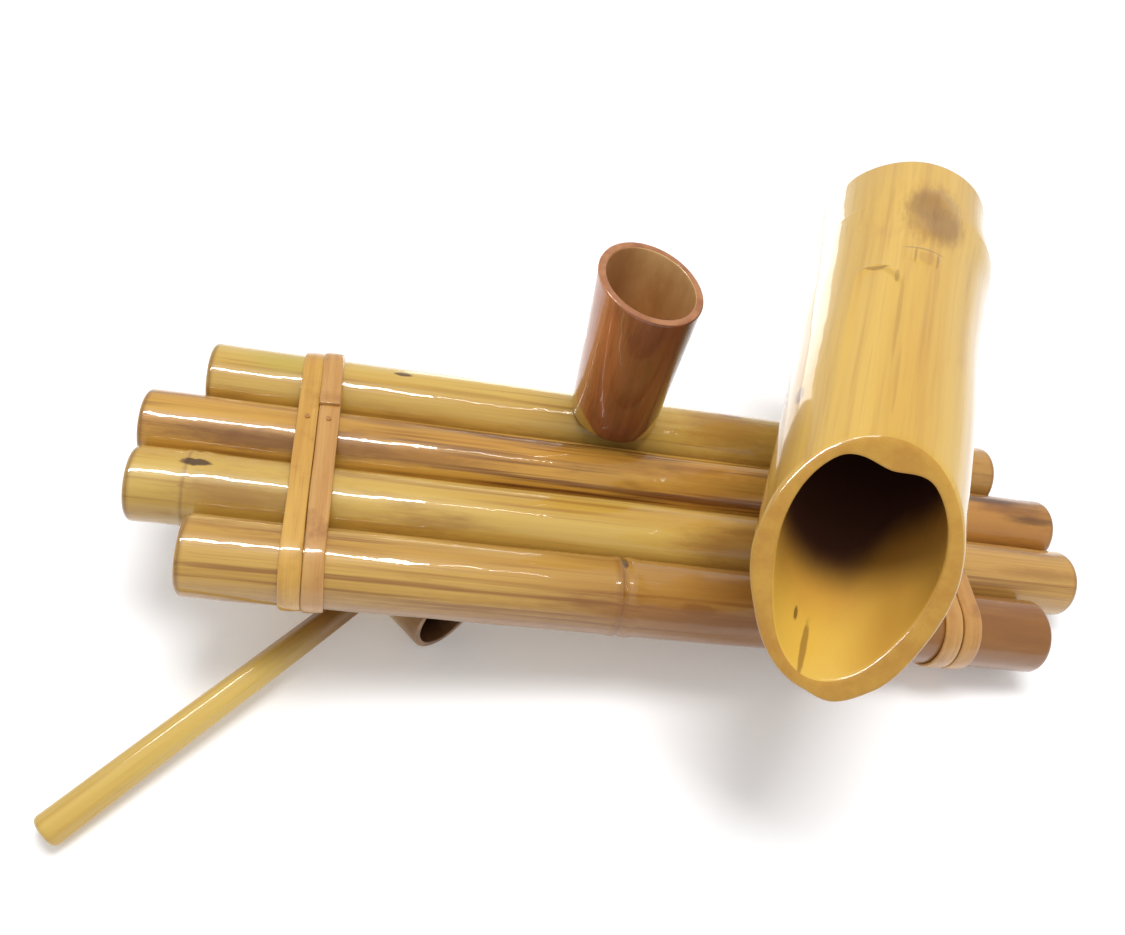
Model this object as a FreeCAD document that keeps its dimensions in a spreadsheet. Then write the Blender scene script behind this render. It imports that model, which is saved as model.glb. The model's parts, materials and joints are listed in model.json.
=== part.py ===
import FreeCAD, Part
import math
import os

import Sketcher

from FreeCAD import Placement, Rotation, Vector

# A bamboo water-feature set.  Four staggered culm poles are bound into a raft with flat rattan
# strips.  The raft carries an upright cup on its back pole and a big slant-cut spout on a hidden
# riser post, and its left half is propped on a bamboo ladle that lies on its side underneath.
#
# Row frame: +Z up, z = 0 is the surface the set stands on, +X runs to the raft's low end and +Y to
# the back.  The raft has a frame of its own: x along the poles, y to the back, z = 0 in the plane
# that touches all four poles from below.  The raft frame is pitched about +Y because the ladle
# holds its -X half up.

doc = FreeCAD.newDocument("bamboo_water_set")
sheet = doc.addObject("Spreadsheet::Sheet", "dims")

# name: (value, what it is); lengths in mm, angles in degrees
DIMS = {
    "pole_front_radius": (19.3, "front pole"),
    "pole_front_left": (-218.6, "front pole's left end, raft x"),
    "pole_front_length": (436.3, ""),
    "pole_second_radius": (18.3, "second pole, the longest with the third"),
    "pole_second_left": (-250.0, ""),
    "pole_second_length": (501.0, ""),
    "pole_third_radius": (18.2, "third pole"),
    "pole_third_left": (-253.0, ""),
    "pole_third_length": (504.0, ""),
    "pole_back_radius": (18.6, "back pole"),
    "pole_back_left": (-229.0, ""),
    "pole_back_length": (454.0, ""),
    "pole_wall": (5.0, "culm wall of the poles"),
    "pole_gap": (0.1, "daylight between neighbouring poles"),
    "pole_end_round": (4.0, "rounding of the poles' outer end edges"),
    "pole_lip_round": (0.8, "rounding of the poles' inner end edges"),
    "node_rise": (0.9, "height of a node ring above the culm"),
    "node_round": (2.4, "radius of the node ring's section"),
    "node_relief": (8.0, "length of the hollow that lets a neighbour lie against a node ring"),
    "septum_thick": (5.0, "node wall across a culm"),
    "septum_hole": (3.0, "radius of the drying hole through a node wall"),
    "dowel_radius": (4.0, "cross dowels"),
    "dowel_left": (-200.0, "raft x of the left cross dowel"),
    "dowel_right": (192.0, "raft x of the right cross dowel"),
    "dowel_overrun": (6.0, "how far a dowel stops short of the outer poles' centres"),
    "peg_fit": (0.05, "radial room round every peg and dowel"),
    "strip_thick": (2.0, "rattan strip"),
    "strip_width": (9.6, "rattan strip"),
    "strip_pitch": (10.3, "centre distance of two neighbouring strips"),
    "binding_left": (-168.0, "raft x of the left binding, mid width"),
    "binding_right": (164.5, "raft x of the right binding, mid width"),
    "binding_slant": (3.7, "the left binding runs askew by this angle"),
    "pin_head_radius": (1.3, "brads that hold the strip ends"),
    "pin_shank_radius": (0.7, ""),
    "pin_length": (7.0, ""),
    "pin_head_height": (0.7, ""),
    "pin_fit": (0.02, "radial room round a brad's shank"),
    "pin_seat": (0.05, "a brad's head stands clear of the sloping strip by this"),
    "raft_pitch": (7.4, "the ladle lifts the raft's -X end by this angle"),
    "cup_foot_x": (-13.0, "raft x of the cup's axis at pole-top height"),
    "cup_foot_radius": (24.6, "cup's outer radius at pole-top height"),
    "cup_rim_radius": (26.8, "cup's outer radius at the rim's middle"),
    "cup_height": (96.0, "pole top to the rim's middle, along the cup's axis"),
    "cup_skirt": (6.0, "length of the cup's foot that the flat cut below trims"),
    "cup_seat": (1.5, "depth of the cup's shallow seat on the back pole"),
    "cup_wall": (4.0, ""),
    "cup_floor_height": (7.0, "pole top to the underside of the cup's floor"),
    "cup_floor_thick": (5.0, ""),
    "cup_lean_left": (4.6, "the cup leans to -X"),
    "cup_lean_front": (4.6, "the cup leans to -Y"),
    "cup_rim_slant": (12.0, "the rim is cut lower on the +X side"),
    "cup_peg_depth": (9.0, "peg below the back pole's top"),
    "post_x": (95.0, "raft x of the riser post"),
    "post_radius": (13.0, ""),
    "post_top": (66.0, "raft z of the post's flat top"),
    "washer_thick": (1.5, "swivel washer between post and spout block"),
    "washer_radius": (12.0, ""),
    "swivel_gap": (0.3, "daylight between washer and spout block"),
    "riser_radius": (6.0, "outside of the water tube"),
    "riser_bore": (4.5, "inside of the water tube"),
    "riser_top": (106.0, "raft z of the tube's open end in the spout"),
    "tail_socket_radius": (8.5, "hose tail under the third pole"),
    "tail_socket_height": (5.0, ""),
    "tail_shoulder": (1.5, "floor of the socket, which the tube stands on"),
    "tail_spigot_radius": (5.0, "the hose pushes over this"),
    "tail_spigot_length": (12.0, ""),
    "tail_lead": (1.0, "lead-in on the spigot's tip"),
    "tail_bore": (3.5, ""),
    "spout_mouth_x": (50.0, "raft place of the spout's axis in the mouth plane"),
    "spout_mouth_y": (-45.0, ""),
    "spout_mouth_z": (125.0, ""),
    "spout_turn": (20.3, "plan angle of the spout from +Y towards +X"),
    "spout_rise": (0.8, "the spout's axis climbs to the rear"),
    "spout_length": (246.6, "mouth centre to rear end along the axis"),
    "spout_mouth_radius": (39.5, ""),
    "spout_rear_radius": (45.5, ""),
    "spout_wall": (8.5, ""),
    "spout_node_back": (44.0, "node wall's distance from the rear end"),
    "spout_lip_round": (2.4, "rounding of the mouth's edges"),
    "mouth_turn": (26.8, "plan angle of the mouth's outward normal from -Y towards -X"),
    "mouth_tilt": (41.7, "the mouth's outward normal looks up by this angle"),
    "block_radius": (16.0, "wooden block between spout and post"),
    "bush_radius": (9.0, "bush in the spout's floor"),
    "running_fit": (0.08, "radial room between the riser tube and the bush"),
    "bush_flange": (1.5, ""),
    "block_peg_radius": (1.6, "pegs that pin the block to the spout"),
    "block_peg_spread": (12.0, "distance of a block peg from the riser's axis"),
    "ladle_turn": (43.3, "plan angle of the ladle's handle from +X towards +Y"),
    "ladle_tip_x": (-266.0, "handle's free end on the ground, before the origin shift"),
    "ladle_tip_y": (-102.0, ""),
    "handle_tip_radius": (8.3, "the handle tapers towards the cup"),
    "handle_neck_radius": (7.0, ""),
    "handle_reach": (198.0, "free end to the ladle cup's axis, in plan"),
    "handle_tenon_radius": (5.6, "the handle's end through the ladle cup"),
    "ladle_cup_radius": (22.1, ""),
    "ladle_cup_wall": (3.6, ""),
    "ladle_cup_length": (86.0, ""),
    "ladle_cup_front": (40.0, "handle axis to the ladle cup's mouth"),
    "ladle_floor_back": (6.0, "ladle cup's floor, distance from its closed end"),
    "ladle_floor_thick": (4.0, ""),
    "ladle_peg_radius": (1.5, "peg that locks the handle in the ladle cup"),
    "origin_x": (-9.28, "shift that puts the origin at the box's bottom centre"),
    "origin_y": (47.0, ""),
}
for row, (alias, (value, note)) in enumerate(DIMS.items(), start=1):
    sheet.set(f"A{row}", alias.replace("_", " "))
    sheet.set(f"B{row}", str(value))
    sheet.set(f"C{row}", note)
    sheet.setAlias(f"B{row}", alias)
doc.recompute()


def dim(alias):
    """The value of one driving dimension."""
    return float(getattr(sheet, alias))


def bind(thing, sizes):
    """Tie properties of an object or a sketch to expressions of the sheet's cells."""
    for prop, expression in sizes.items():
        thing.setExpression(prop, expression)


X, Y, Z = Vector(1, 0, 0), Vector(0, 1, 0), Vector(0, 0, 1)
POLES = ("front", "second", "third", "back")

# The raft's low end rests on the rounded ends of the second and third poles.
pitch = math.radians(dim("raft_pitch"))
low_end = dim("pole_third_left") + dim("pole_third_length")
end_round = dim("pole_end_round")
raft_lift = (low_end - end_round) * math.sin(pitch) + end_round * (1 - math.cos(pitch))
origin = Vector(dim("origin_x"), dim("origin_y"), 0)
RAFT = Placement(Vector(0, 0, raft_lift) - origin, Rotation(Y, dim("raft_pitch")))
GROUND = Placement(origin * -1, Rotation())

# Poles of different radii stand on one plane and touch, so the centres are 2*sqrt(r1*r2) apart.
pole_y = {"front": 0.0}
for before, pole in zip(POLES, POLES[1:]):
    product = dim(f"pole_{before}_radius") * dim(f"pole_{pole}_radius")
    pole_y[pole] = pole_y[before] + 2 * math.sqrt(product) + dim("pole_gap")
pole_z = {pole: dim(f"pole_{pole}_radius") for pole in POLES}
pole_top = {pole: 2 * pole_z[pole] for pole in POLES}

nodes = []


def new_body(label, frame, place=Placement()):
    """A body named after its node, placed in the raft's or the ground's frame."""
    body = doc.addObject("PartDesign::Body", label)
    body.Label = label
    body.Placement = frame.multiply(place)
    nodes.append(body)
    return body


def origin_plane(body, role):
    for feature in body.Origin.OriginFeatures:
        if feature.Role == role:
            return feature
    raise RuntimeError(f"no plane {role}")


def primitive(body, kind, name, sizes, at=Vector(), along=Z):
    """A PartDesign primitive whose axis starts at a point and runs along a direction."""
    shape = body.newObject(f"PartDesign::{kind}", f"{body.Label}_{name}")
    shape.AttachmentSupport = [(origin_plane(body, "XY_Plane"), "")]
    shape.MapMode = "FlatFace"
    shape.AttachmentOffset = Placement(at, Rotation(Z, along))
    bind(shape, sizes)
    return shape


def new_sketch(body, name, role):
    sketch = body.newObject("Sketcher::SketchObject", f"{body.Label}_{name}")
    sketch.AttachmentSupport = [(origin_plane(body, role), "")]
    sketch.MapMode = "FlatFace"
    return sketch


def fillet(body, name, radius_alias, wanted):
    """Round the edges of the body's tip that the test picks."""
    doc.recompute()
    tip = body.Tip
    picked = [f"Edge{i}" for i, edge in enumerate(tip.Shape.Edges, start=1) if wanted(edge)]
    if not picked:
        raise RuntimeError(f"{body.Label}: no edge for {name}")
    rounding = body.newObject("PartDesign::Fillet", f"{body.Label}_{name}")
    rounding.Base = (tip, picked)
    bind(rounding, {"Radius": f"dims.{radius_alias}"})
    return rounding


def is_ring(edge, radius, axis=None, at=None):
    """True for a circle of one radius, at one coordinate along an axis where that is given."""
    if not isinstance(edge.Curve, Part.Circle) or abs(edge.Curve.Radius - radius) > 0.01:
        return False
    return axis is None or abs(edge.Curve.Center.dot(axis) - at) < 0.01


# ---------------------------------------------------------------- poles

# raft x of each pole's node rings
NODE_RINGS = {"front": [-16.0], "second": [-224.0], "third": [128.0], "back": [206.0]}


def make_pole(pole):
    """A culm along x: a tube with node rings outside and pierced node walls inside."""
    sizes = f"dims.pole_{pole}"
    left = dim(f"pole_{pole}_left")
    length = dim(f"pole_{pole}_length")
    axis_start = Vector(left, pole_y[pole], pole_z[pole])
    body = new_body(f"pole_{pole}", RAFT, Placement(axis_start, Rotation()))
    primitive(body, "AdditiveCylinder", "culm",
              {"Radius": f"{sizes}_radius", "Height": f"{sizes}_length"}, along=X)
    for number, ring in enumerate(NODE_RINGS[pole]):
        primitive(body, "AdditiveTorus", f"ring_{number}",
                  {"Radius1": f"{sizes}_radius + dims.node_rise - dims.node_round",
                   "Radius2": "dims.node_round"}, at=X * (ring - left), along=X)
    relieve_rings(body, pole, left)
    primitive(body, "SubtractiveCylinder", "drying_hole",
              {"Radius": "dims.septum_hole", "Height": f"{sizes}_length"}, along=X)
    starts = [left] + [ring + dim("septum_thick") / 2 for ring in NODE_RINGS[pole]]
    ends = [ring - dim("septum_thick") / 2 for ring in NODE_RINGS[pole]] + [left + length]
    for number, (start, end) in enumerate(zip(starts, ends)):
        hollow = primitive(body, "SubtractiveCylinder", f"internode_{number}",
                           {"Radius": f"{sizes}_radius - dims.pole_wall"},
                           at=X * (start - left), along=X)
        hollow.Height = end - start
    drill_pole(body, pole, left)
    radius = dim(f"pole_{pole}_radius")
    fillet(body, "end_round", "pole_end_round",
           lambda edge: any(is_ring(edge, radius, X, at) for at in (0.0, length)))
    fillet(body, "lip_round", "pole_lip_round",
           lambda edge: any(is_ring(edge, radius - dim("pole_wall"), X, at) for at in (0.0, length)))


def relieve_rings(body, pole, left):
    """Hollow a pole's node rings where its neighbours lie against them."""
    place = POLES.index(pole)
    for neighbour in POLES[max(place - 1, 0):place] + POLES[place + 1:place + 2]:
        aside = Vector(0, pole_y[neighbour] - pole_y[pole], pole_z[neighbour] - pole_z[pole])
        for number, ring in enumerate(NODE_RINGS[pole]):
            start = X * (ring - left - dim("node_relief") / 2)
            primitive(body, "SubtractiveCylinder", f"relief_{neighbour}_{number}",
                      {"Radius": f"dims.pole_{neighbour}_radius + dims.pole_gap / 2",
                       "Height": "dims.node_relief"}, at=start + aside, along=X)


def drill_pole(body, pole, left):
    """The holes through a pole's wall: cross dowels, and the riser tube or the cup's peg."""
    through = dim("pole_front_radius") * 2.2
    start = 0.0 if pole == "front" else -0.5
    length = 0.5 if pole == "back" else 1.0
    for side in ("left", "right"):
        foot = Vector(dim(f"dowel_{side}") - left, start * through, dowel_z - pole_z[pole])
        hole = primitive(body, "SubtractiveCylinder", f"dowel_hole_{side}",
                         {"Radius": "dims.dowel_radius + dims.peg_fit"}, at=foot, along=Y)
        hole.Height = length * through
    if pole == "third":
        hole = primitive(body, "SubtractiveCylinder", "riser_hole",
                         {"Radius": "dims.riser_radius + dims.peg_fit"},
                         at=Vector(dim("post_x") - left, 0, -through / 2))
        hole.Height = through
        for number, place in enumerate(brad_places()):
            primitive(body, "SubtractiveCylinder", f"brad_hole_{number}",
                      {"Radius": "dims.pin_shank_radius + dims.pin_fit", "Height": "dims.pin_length"},
                      at=place - Vector(left, pole_y[pole], pole_z[pole] + dim("pin_length")))
    if pole == "back":
        hole = primitive(body, "SubtractiveCylinder", "cup_peg_hole",
                         {"Radius": "dims.dowel_radius + dims.peg_fit"},
                         at=Vector(dim("cup_foot_x") - left, 0, 0))
        hole.Height = through


def strip_top(y):
    """Raft z of the strips' upper face."""
    lean = math.atan2(pole_z["back"] - pole_z["front"], pole_y["back"])
    return pole_top["front"] + 2 * lean * y + dim("strip_thick")


def brad_places():
    """Where each strip's upper face meets its brad, over the third pole."""
    y = pole_y["third"]
    return [Vector(binding_x - math.tan(math.radians(slant)) * y, y, strip_top(y))
            for binding_x, slant in STRIPS.values()]


# Each strip's raft x on the front pole and its slant.  A slanted loop turns about its point on the
# front pole, so its centre line moves there.
half_pitch = dim("strip_pitch") / 2
slant_shift = math.tan(math.radians(dim("binding_slant"))) * pole_y["back"] / 2
STRIPS = {
    "strip_left_outer": (dim("binding_left") - half_pitch + slant_shift, dim("binding_slant")),
    "strip_left_inner": (dim("binding_left") + half_pitch + slant_shift, dim("binding_slant")),
    "strip_right_inner": (dim("binding_right") - half_pitch, 0.0),
    "strip_right_outer": (dim("binding_right") + half_pitch, 0.0),
}

dowel_z = sum(pole_z.values()) / len(POLES)
for pole in POLES:
    make_pole(pole)


def make_dowel(side):
    """A hidden wooden dowel that strings the four poles together."""
    short = dim("dowel_overrun")
    start = Vector(dim(f"dowel_{side}"), short, dowel_z)
    body = new_body(f"cross_dowel_{side}", RAFT, Placement(start, Rotation()))
    rod = primitive(body, "AdditiveCylinder", "rod", {"Radius": "dims.dowel_radius"}, along=Y)
    rod.Height = pole_y["back"] - 2 * short


for side in ("left", "right"):
    make_dowel(side)

# ---------------------------------------------------------------- bindings


def tangent_angle(near_z, far_z, spread):
    """Direction of the top tangent of two circles that stand on one plane, from +Y."""
    lean = math.atan2(far_z - near_z, spread)
    return math.pi / 2 + 2 * lean


def add_belt(sketch, spread, offset, offset_expression):
    """A closed belt round the outer poles in a sketch whose x is raft y and whose y is raft z."""
    near = Vector(0, pole_z["front"], 0)
    far = Vector(spread, pole_z["back"], 0)
    near_radius = pole_z["front"] + offset
    far_radius = pole_z["back"] + offset
    top = tangent_angle(near.y, far.y, spread)
    bottom = -math.pi / 2
    arcs = []
    for centre, radius, start, end in ((near, near_radius, top, bottom + 2 * math.pi),
                                       (far, far_radius, bottom, top)):
        arc = Part.ArcOfCircle(Part.Circle(centre, Z, radius), start, end)
        arcs.append(sketch.addGeometry(arc, False))
    near_arc, far_arc = (sketch.Geometry[i] for i in arcs)
    top_line = sketch.addGeometry(Part.LineSegment(far_arc.EndPoint, near_arc.StartPoint), False)
    bottom_line = sketch.addGeometry(Part.LineSegment(near_arc.EndPoint, far_arc.StartPoint), False)
    for ends in ((arcs[1], 2, top_line, 1), (top_line, 2, arcs[0], 1),
                 (arcs[0], 2, bottom_line, 1), (bottom_line, 2, arcs[1], 1)):
        sketch.addConstraint(Sketcher.Constraint("Tangent", *ends))
    vertical_axis = -2
    sketch.addConstraint(Sketcher.Constraint("PointOnObject", arcs[0], 3, vertical_axis))
    sketch.addConstraint(Sketcher.Constraint("DistanceX", -1, 1, arcs[1], 3, far.x))
    for arc, alias, height in ((arcs[0], "front", near.y), (arcs[1], "back", far.y)):
        index = sketch.addConstraint(Sketcher.Constraint("DistanceY", -1, 1, arc, 3, height))
        sketch.setExpression(f"Constraints[{index}]", f"dims.pole_{alias}_radius")
    for arc, alias, radius in ((arcs[0], "front", near_radius), (arcs[1], "back", far_radius)):
        index = sketch.addConstraint(Sketcher.Constraint("Radius", arc, radius))
        size = f"dims.pole_{alias}_radius + {offset_expression}"
        sketch.setExpression(f"Constraints[{index}]", size)


def make_strip(name, binding_x, slant):
    """A flat rattan loop: straight over the pole tops, round the outer poles and back beneath."""
    body = new_body(name, RAFT, Placement(Vector(binding_x, 0, 0), Rotation(Z, slant)))
    spread = pole_y["back"] / math.cos(math.radians(slant))
    section = new_sketch(body, "section", "YZ_Plane")
    add_belt(section, spread, dim("strip_thick"), "dims.strip_thick")
    add_belt(section, spread, 0.0, "0")
    band = body.newObject("PartDesign::Pad", f"{name}_band")
    band.Profile = section
    band.Midplane = True
    bind(band, {"Length": "dims.strip_width"})
    back_to_raft = Rotation(Z, -slant)
    if slant:
        for pole in ("front", "back"):
            seat = primitive(body, "SubtractiveCylinder", f"seat_{pole}",
                             {"Radius": f"dims.pole_{pole}_radius", "Height": "4 * dims.strip_width"},
                             at=back_to_raft.multVec(Vector(0, pole_y[pole], pole_z[pole])
                                                     - X * 2 * dim("strip_width")),
                             along=back_to_raft.multVec(X))
            seat.Refine = True
    y = pole_y["third"]
    primitive(body, "SubtractiveCylinder", "brad_hole",
              {"Radius": "dims.pin_shank_radius + dims.pin_fit", "Height": "dims.pin_length"},
              at=Vector(0, y / math.cos(math.radians(slant)), strip_top(y) - dim("pin_length") / 2))


for name, (binding_x, slant) in STRIPS.items():
    make_strip(name, binding_x, slant)


def make_brads():
    """Four brads, one through each strip into the third pole: a group of separate solids."""
    body_shapes = []
    for place in brad_places():
        place = place + Z * dim("pin_seat")
        head = Part.makeCylinder(dim("pin_head_radius"), dim("pin_head_height"), place)
        foot = place - Z * dim("pin_length")
        shank = Part.makeCylinder(dim("pin_shank_radius"), dim("pin_length"), foot)
        body_shapes.append(head.fuse(shank).removeSplitter())
    group = doc.addObject("Part::Feature", "binding_brads")
    group.Shape = Part.makeCompound(body_shapes)
    group.Placement = RAFT
    nodes.append(group)


make_brads()

# ---------------------------------------------------------------- cup on the back pole

cup_foot = Vector(dim("cup_foot_x"), pole_y["back"], pole_top["back"])
cup_axis = Vector(-math.tan(math.radians(dim("cup_lean_left"))),
                  -math.tan(math.radians(dim("cup_lean_front"))), 1).normalize()


def make_cup():
    """A conical culm piece, cut flat below, with a node wall for its floor; it sits on one pole."""
    body = new_body("cup", RAFT, Placement(cup_foot, Rotation()))
    flare = "(dims.cup_rim_radius - dims.cup_foot_radius) / dims.cup_height"
    spare = dim("cup_foot_radius")
    primitive(body, "AdditiveCone", "wall",
              {"Radius1": f"dims.cup_foot_radius - {flare} * dims.cup_skirt",
               "Radius2": f"dims.cup_rim_radius + {flare} * dims.cup_foot_radius",
               "Height": "dims.cup_skirt + dims.cup_height + dims.cup_foot_radius"},
              at=cup_axis * -dim("cup_skirt"), along=cup_axis)
    primitive(body, "SubtractiveCone", "inside",
              {"Radius1": "dims.cup_foot_radius - dims.cup_wall",
               "Radius2": f"dims.cup_rim_radius + {flare} * dims.cup_foot_radius - dims.cup_wall",
               "Height": "dims.cup_height + dims.cup_foot_radius"
                         " - dims.cup_floor_height - dims.cup_floor_thick"},
              at=cup_axis * (dim("cup_floor_height") + dim("cup_floor_thick")), along=cup_axis)
    primitive(body, "SubtractiveCylinder", "under_floor",
              {"Radius": f"dims.cup_foot_radius - dims.cup_wall - {flare} * dims.cup_skirt",
               "Height": "dims.cup_skirt + dims.cup_floor_height"},
              at=cup_axis * -dim("cup_skirt"), along=cup_axis)
    base_cut = primitive(body, "SubtractiveCylinder", "base_cut", {"Height": "4 * dims.cup_skirt"},
                         at=Z * -dim("cup_seat"), along=Z * -1)
    base_cut.Radius = 3 * spare
    saddle = primitive(body, "SubtractiveCylinder", "saddle", {"Radius": "dims.pole_back_radius"},
                       at=Vector(-3 * spare, 0, -pole_z["back"]), along=X)
    saddle.Height = 6 * spare
    slant = math.radians(dim("cup_rim_slant"))
    rim_normal = Vector(math.sin(slant) + cup_axis.x * math.cos(slant), cup_axis.y, math.cos(slant))
    rim_normal.normalize()
    cut = primitive(body, "SubtractiveCylinder", "rim_cut", {"Height": "dims.cup_height"},
                    at=cup_axis * dim("cup_height"), along=rim_normal)
    cut.Radius = 3 * spare
    primitive(body, "SubtractiveCylinder", "peg_hole",
              {"Radius": "dims.dowel_radius + dims.peg_fit", "Height": "dims.cup_height"},
              at=Vector(0, 0, -dim("cup_skirt")))


def make_cup_peg():
    """The peg that joins the cup's floor to the back pole."""
    depth = dim("cup_peg_depth")
    top = dim("cup_floor_height") + dim("cup_floor_thick")
    body = new_body("cup_peg", RAFT, Placement(cup_foot - Z * depth, Rotation()))
    rod = primitive(body, "AdditiveCylinder", "rod", {"Radius": "dims.dowel_radius"})
    rod.Height = depth + top


make_cup()
make_cup_peg()

# ---------------------------------------------------------------- riser post and water tube

post_foot = Vector(dim("post_x"), pole_y["third"], 0)


def make_post():
    """A short upright culm, fish-mouthed over the third pole, with a flat top."""
    body = new_body("spout_post", RAFT, Placement(post_foot, Rotation()))
    start = pole_z["third"]
    culm = primitive(body, "AdditiveCylinder", "culm", {"Radius": "dims.post_radius"}, at=Z * start)
    culm.Height = dim("post_top") - start
    saddle = primitive(body, "SubtractiveCylinder", "saddle", {"Radius": "dims.pole_third_radius"},
                       at=Vector(-2 * dim("post_radius"), 0, pole_z["third"]), along=X)
    saddle.Height = 4 * dim("post_radius")
    primitive(body, "SubtractiveCylinder", "bore",
              {"Radius": "dims.riser_radius + dims.peg_fit", "Height": "dims.post_top"})


def make_washer():
    """The swivel washer that the spout's block turns on."""
    body = new_body("swivel_washer", RAFT, Placement(post_foot + Z * dim("post_top"), Rotation()))
    primitive(body, "AdditiveCylinder", "ring",
              {"Radius": "dims.washer_radius", "Height": "dims.washer_thick"})
    primitive(body, "SubtractiveCylinder", "bore",
              {"Radius": "dims.riser_radius + dims.peg_fit", "Height": "dims.washer_thick"})


def make_riser():
    """The water tube: up through the third pole, the post and the block into the spout."""
    below = dim("tail_socket_height") - dim("tail_shoulder")
    body = new_body("riser_tube", RAFT, Placement(post_foot - Z * below, Rotation()))
    sizes = {"Height": "dims.riser_top + dims.tail_socket_height - dims.tail_shoulder"}
    primitive(body, "AdditiveCylinder", "wall", {"Radius": "dims.riser_radius", **sizes})
    primitive(body, "SubtractiveCylinder", "bore", {"Radius": "dims.riser_bore", **sizes})


def make_hose_tail():
    """A socket on the tube's lower end with a spigot that a hose pushes over."""
    spigot = dim("tail_spigot_length")
    socket = dim("tail_socket_height")
    body = new_body("hose_tail", RAFT, Placement(post_foot - Z * (spigot + socket), Rotation()))
    primitive(body, "AdditiveCone", "lead",
              {"Radius1": "dims.tail_spigot_radius - dims.tail_lead / 2",
               "Radius2": "dims.tail_spigot_radius", "Height": "dims.tail_lead"})
    primitive(body, "AdditiveCylinder", "spigot",
              {"Radius": "dims.tail_spigot_radius",
               "Height": "dims.tail_spigot_length - dims.tail_lead"}, at=Z * dim("tail_lead"))
    primitive(body, "AdditiveCylinder", "socket",
              {"Radius": "dims.tail_socket_radius", "Height": "dims.tail_socket_height"},
              at=Z * spigot)
    primitive(body, "SubtractiveCylinder", "seat",
              {"Radius": "dims.riser_radius", "Height": "dims.tail_socket_height"},
              at=Z * (spigot + dim("tail_shoulder")))
    primitive(body, "SubtractiveCylinder", "bore",
              {"Radius": "dims.tail_bore",
               "Height": "dims.tail_spigot_length + dims.tail_socket_height"})


make_post()
make_washer()
make_riser()
make_hose_tail()

# ---------------------------------------------------------------- spout

turn = math.radians(dim("spout_turn"))
rise = math.radians(dim("spout_rise"))
spout_axis = Vector(math.sin(turn) * math.cos(rise), math.cos(turn) * math.cos(rise), math.sin(rise))
mouth = Vector(dim("spout_mouth_x"), dim("spout_mouth_y"), dim("spout_mouth_z")) - post_foot
mouth_turn = math.radians(dim("mouth_turn"))
mouth_tilt = math.radians(dim("mouth_tilt"))
mouth_normal = Vector(-math.sin(mouth_turn) * math.cos(mouth_tilt),
                      -math.cos(mouth_turn) * math.cos(mouth_tilt), math.sin(mouth_tilt))
block_foot = dim("post_top") + dim("washer_thick") + dim("swivel_gap")
FLARE = "(dims.spout_rear_radius - dims.spout_mouth_radius) / dims.spout_length"
SPOUT = RAFT.multiply(Placement(post_foot, Rotation()))


def make_spout():
    """A big tapering culm: slant-cut mouth in front, node wall near the rear, both ends hollow."""
    body = new_body("spout_culm", SPOUT)
    overrun = 2 * dim("spout_mouth_radius")
    front = mouth - spout_axis * overrun
    primitive(body, "AdditiveCone", "culm",
              {"Radius1": f"dims.spout_mouth_radius - {FLARE} * 2 * dims.spout_mouth_radius",
               "Radius2": "dims.spout_rear_radius",
               "Height": "dims.spout_length + 2 * dims.spout_mouth_radius"}, at=front, along=spout_axis)
    ring_at = mouth + spout_axis * (dim("spout_length") - dim("spout_node_back"))
    primitive(body, "AdditiveTorus", "node_ring",
              {"Radius1": f"dims.spout_rear_radius - {FLARE} * dims.spout_node_back"
                          " + dims.node_rise - dims.node_round",
               "Radius2": "dims.node_round"}, at=ring_at, along=spout_axis)
    primitive(body, "SubtractiveCone", "channel",
              {"Radius1": "dims.spout_mouth_radius - dims.spout_wall"
                          f" - {FLARE} * 2 * dims.spout_mouth_radius",
               "Radius2": f"dims.spout_rear_radius - dims.spout_wall - {FLARE} * dims.spout_node_back",
               "Height": "dims.spout_length + 2 * dims.spout_mouth_radius"
                         " - dims.spout_node_back - dims.septum_thick / 2"}, at=front, along=spout_axis)
    behind = mouth + spout_axis * (dim("spout_length") - dim("spout_node_back") + dim("septum_thick") / 2)
    primitive(body, "SubtractiveCone", "rear_hollow",
              {"Radius1": f"dims.spout_rear_radius - dims.spout_wall - {FLARE} * dims.spout_node_back",
               "Radius2": "dims.spout_rear_radius - dims.spout_wall",
               "Height": "dims.spout_node_back - dims.septum_thick / 2"}, at=behind, along=spout_axis)
    cut = primitive(body, "SubtractiveCylinder", "mouth_cut", {}, at=mouth, along=mouth_normal)
    cut.Radius = 5 * dim("spout_mouth_radius")
    cut.Height = 5 * dim("spout_mouth_radius")
    primitive(body, "SubtractiveCylinder", "bush_hole",
              {"Radius": "dims.bush_radius", "Height": "dims.riser_top"})
    for number, offset in enumerate(block_peg_places()):
        primitive(body, "SubtractiveCylinder", f"peg_hole_{number}",
                  {"Radius": "dims.block_peg_radius", "Height": "dims.riser_top - dims.washer_thick"},
                  at=offset)
    fillet(body, "lip_round", "spout_lip_round", in_mouth_plane)


def in_mouth_plane(edge):
    """True for an edge of the slant cut."""
    points = [vertex.Point for vertex in edge.Vertexes] + [edge.CenterOfMass]
    return all(abs((point - mouth).dot(mouth_normal)) < 0.01 for point in points)


def block_peg_places():
    """Feet of the two pegs, either side of the riser, square to the spout."""
    across = Vector(math.cos(turn), -math.sin(turn), 0) * dim("block_peg_spread")
    return (across * -1, across)


def spout_floor_depth():
    """Raft z of the spout's underside right over the post."""
    along = (mouth * -1).dot(spout_axis)
    radius = dim("spout_mouth_radius")
    radius += (dim("spout_rear_radius") - radius) * along / dim("spout_length")
    return mouth.z + spout_axis.z * along - radius


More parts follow.
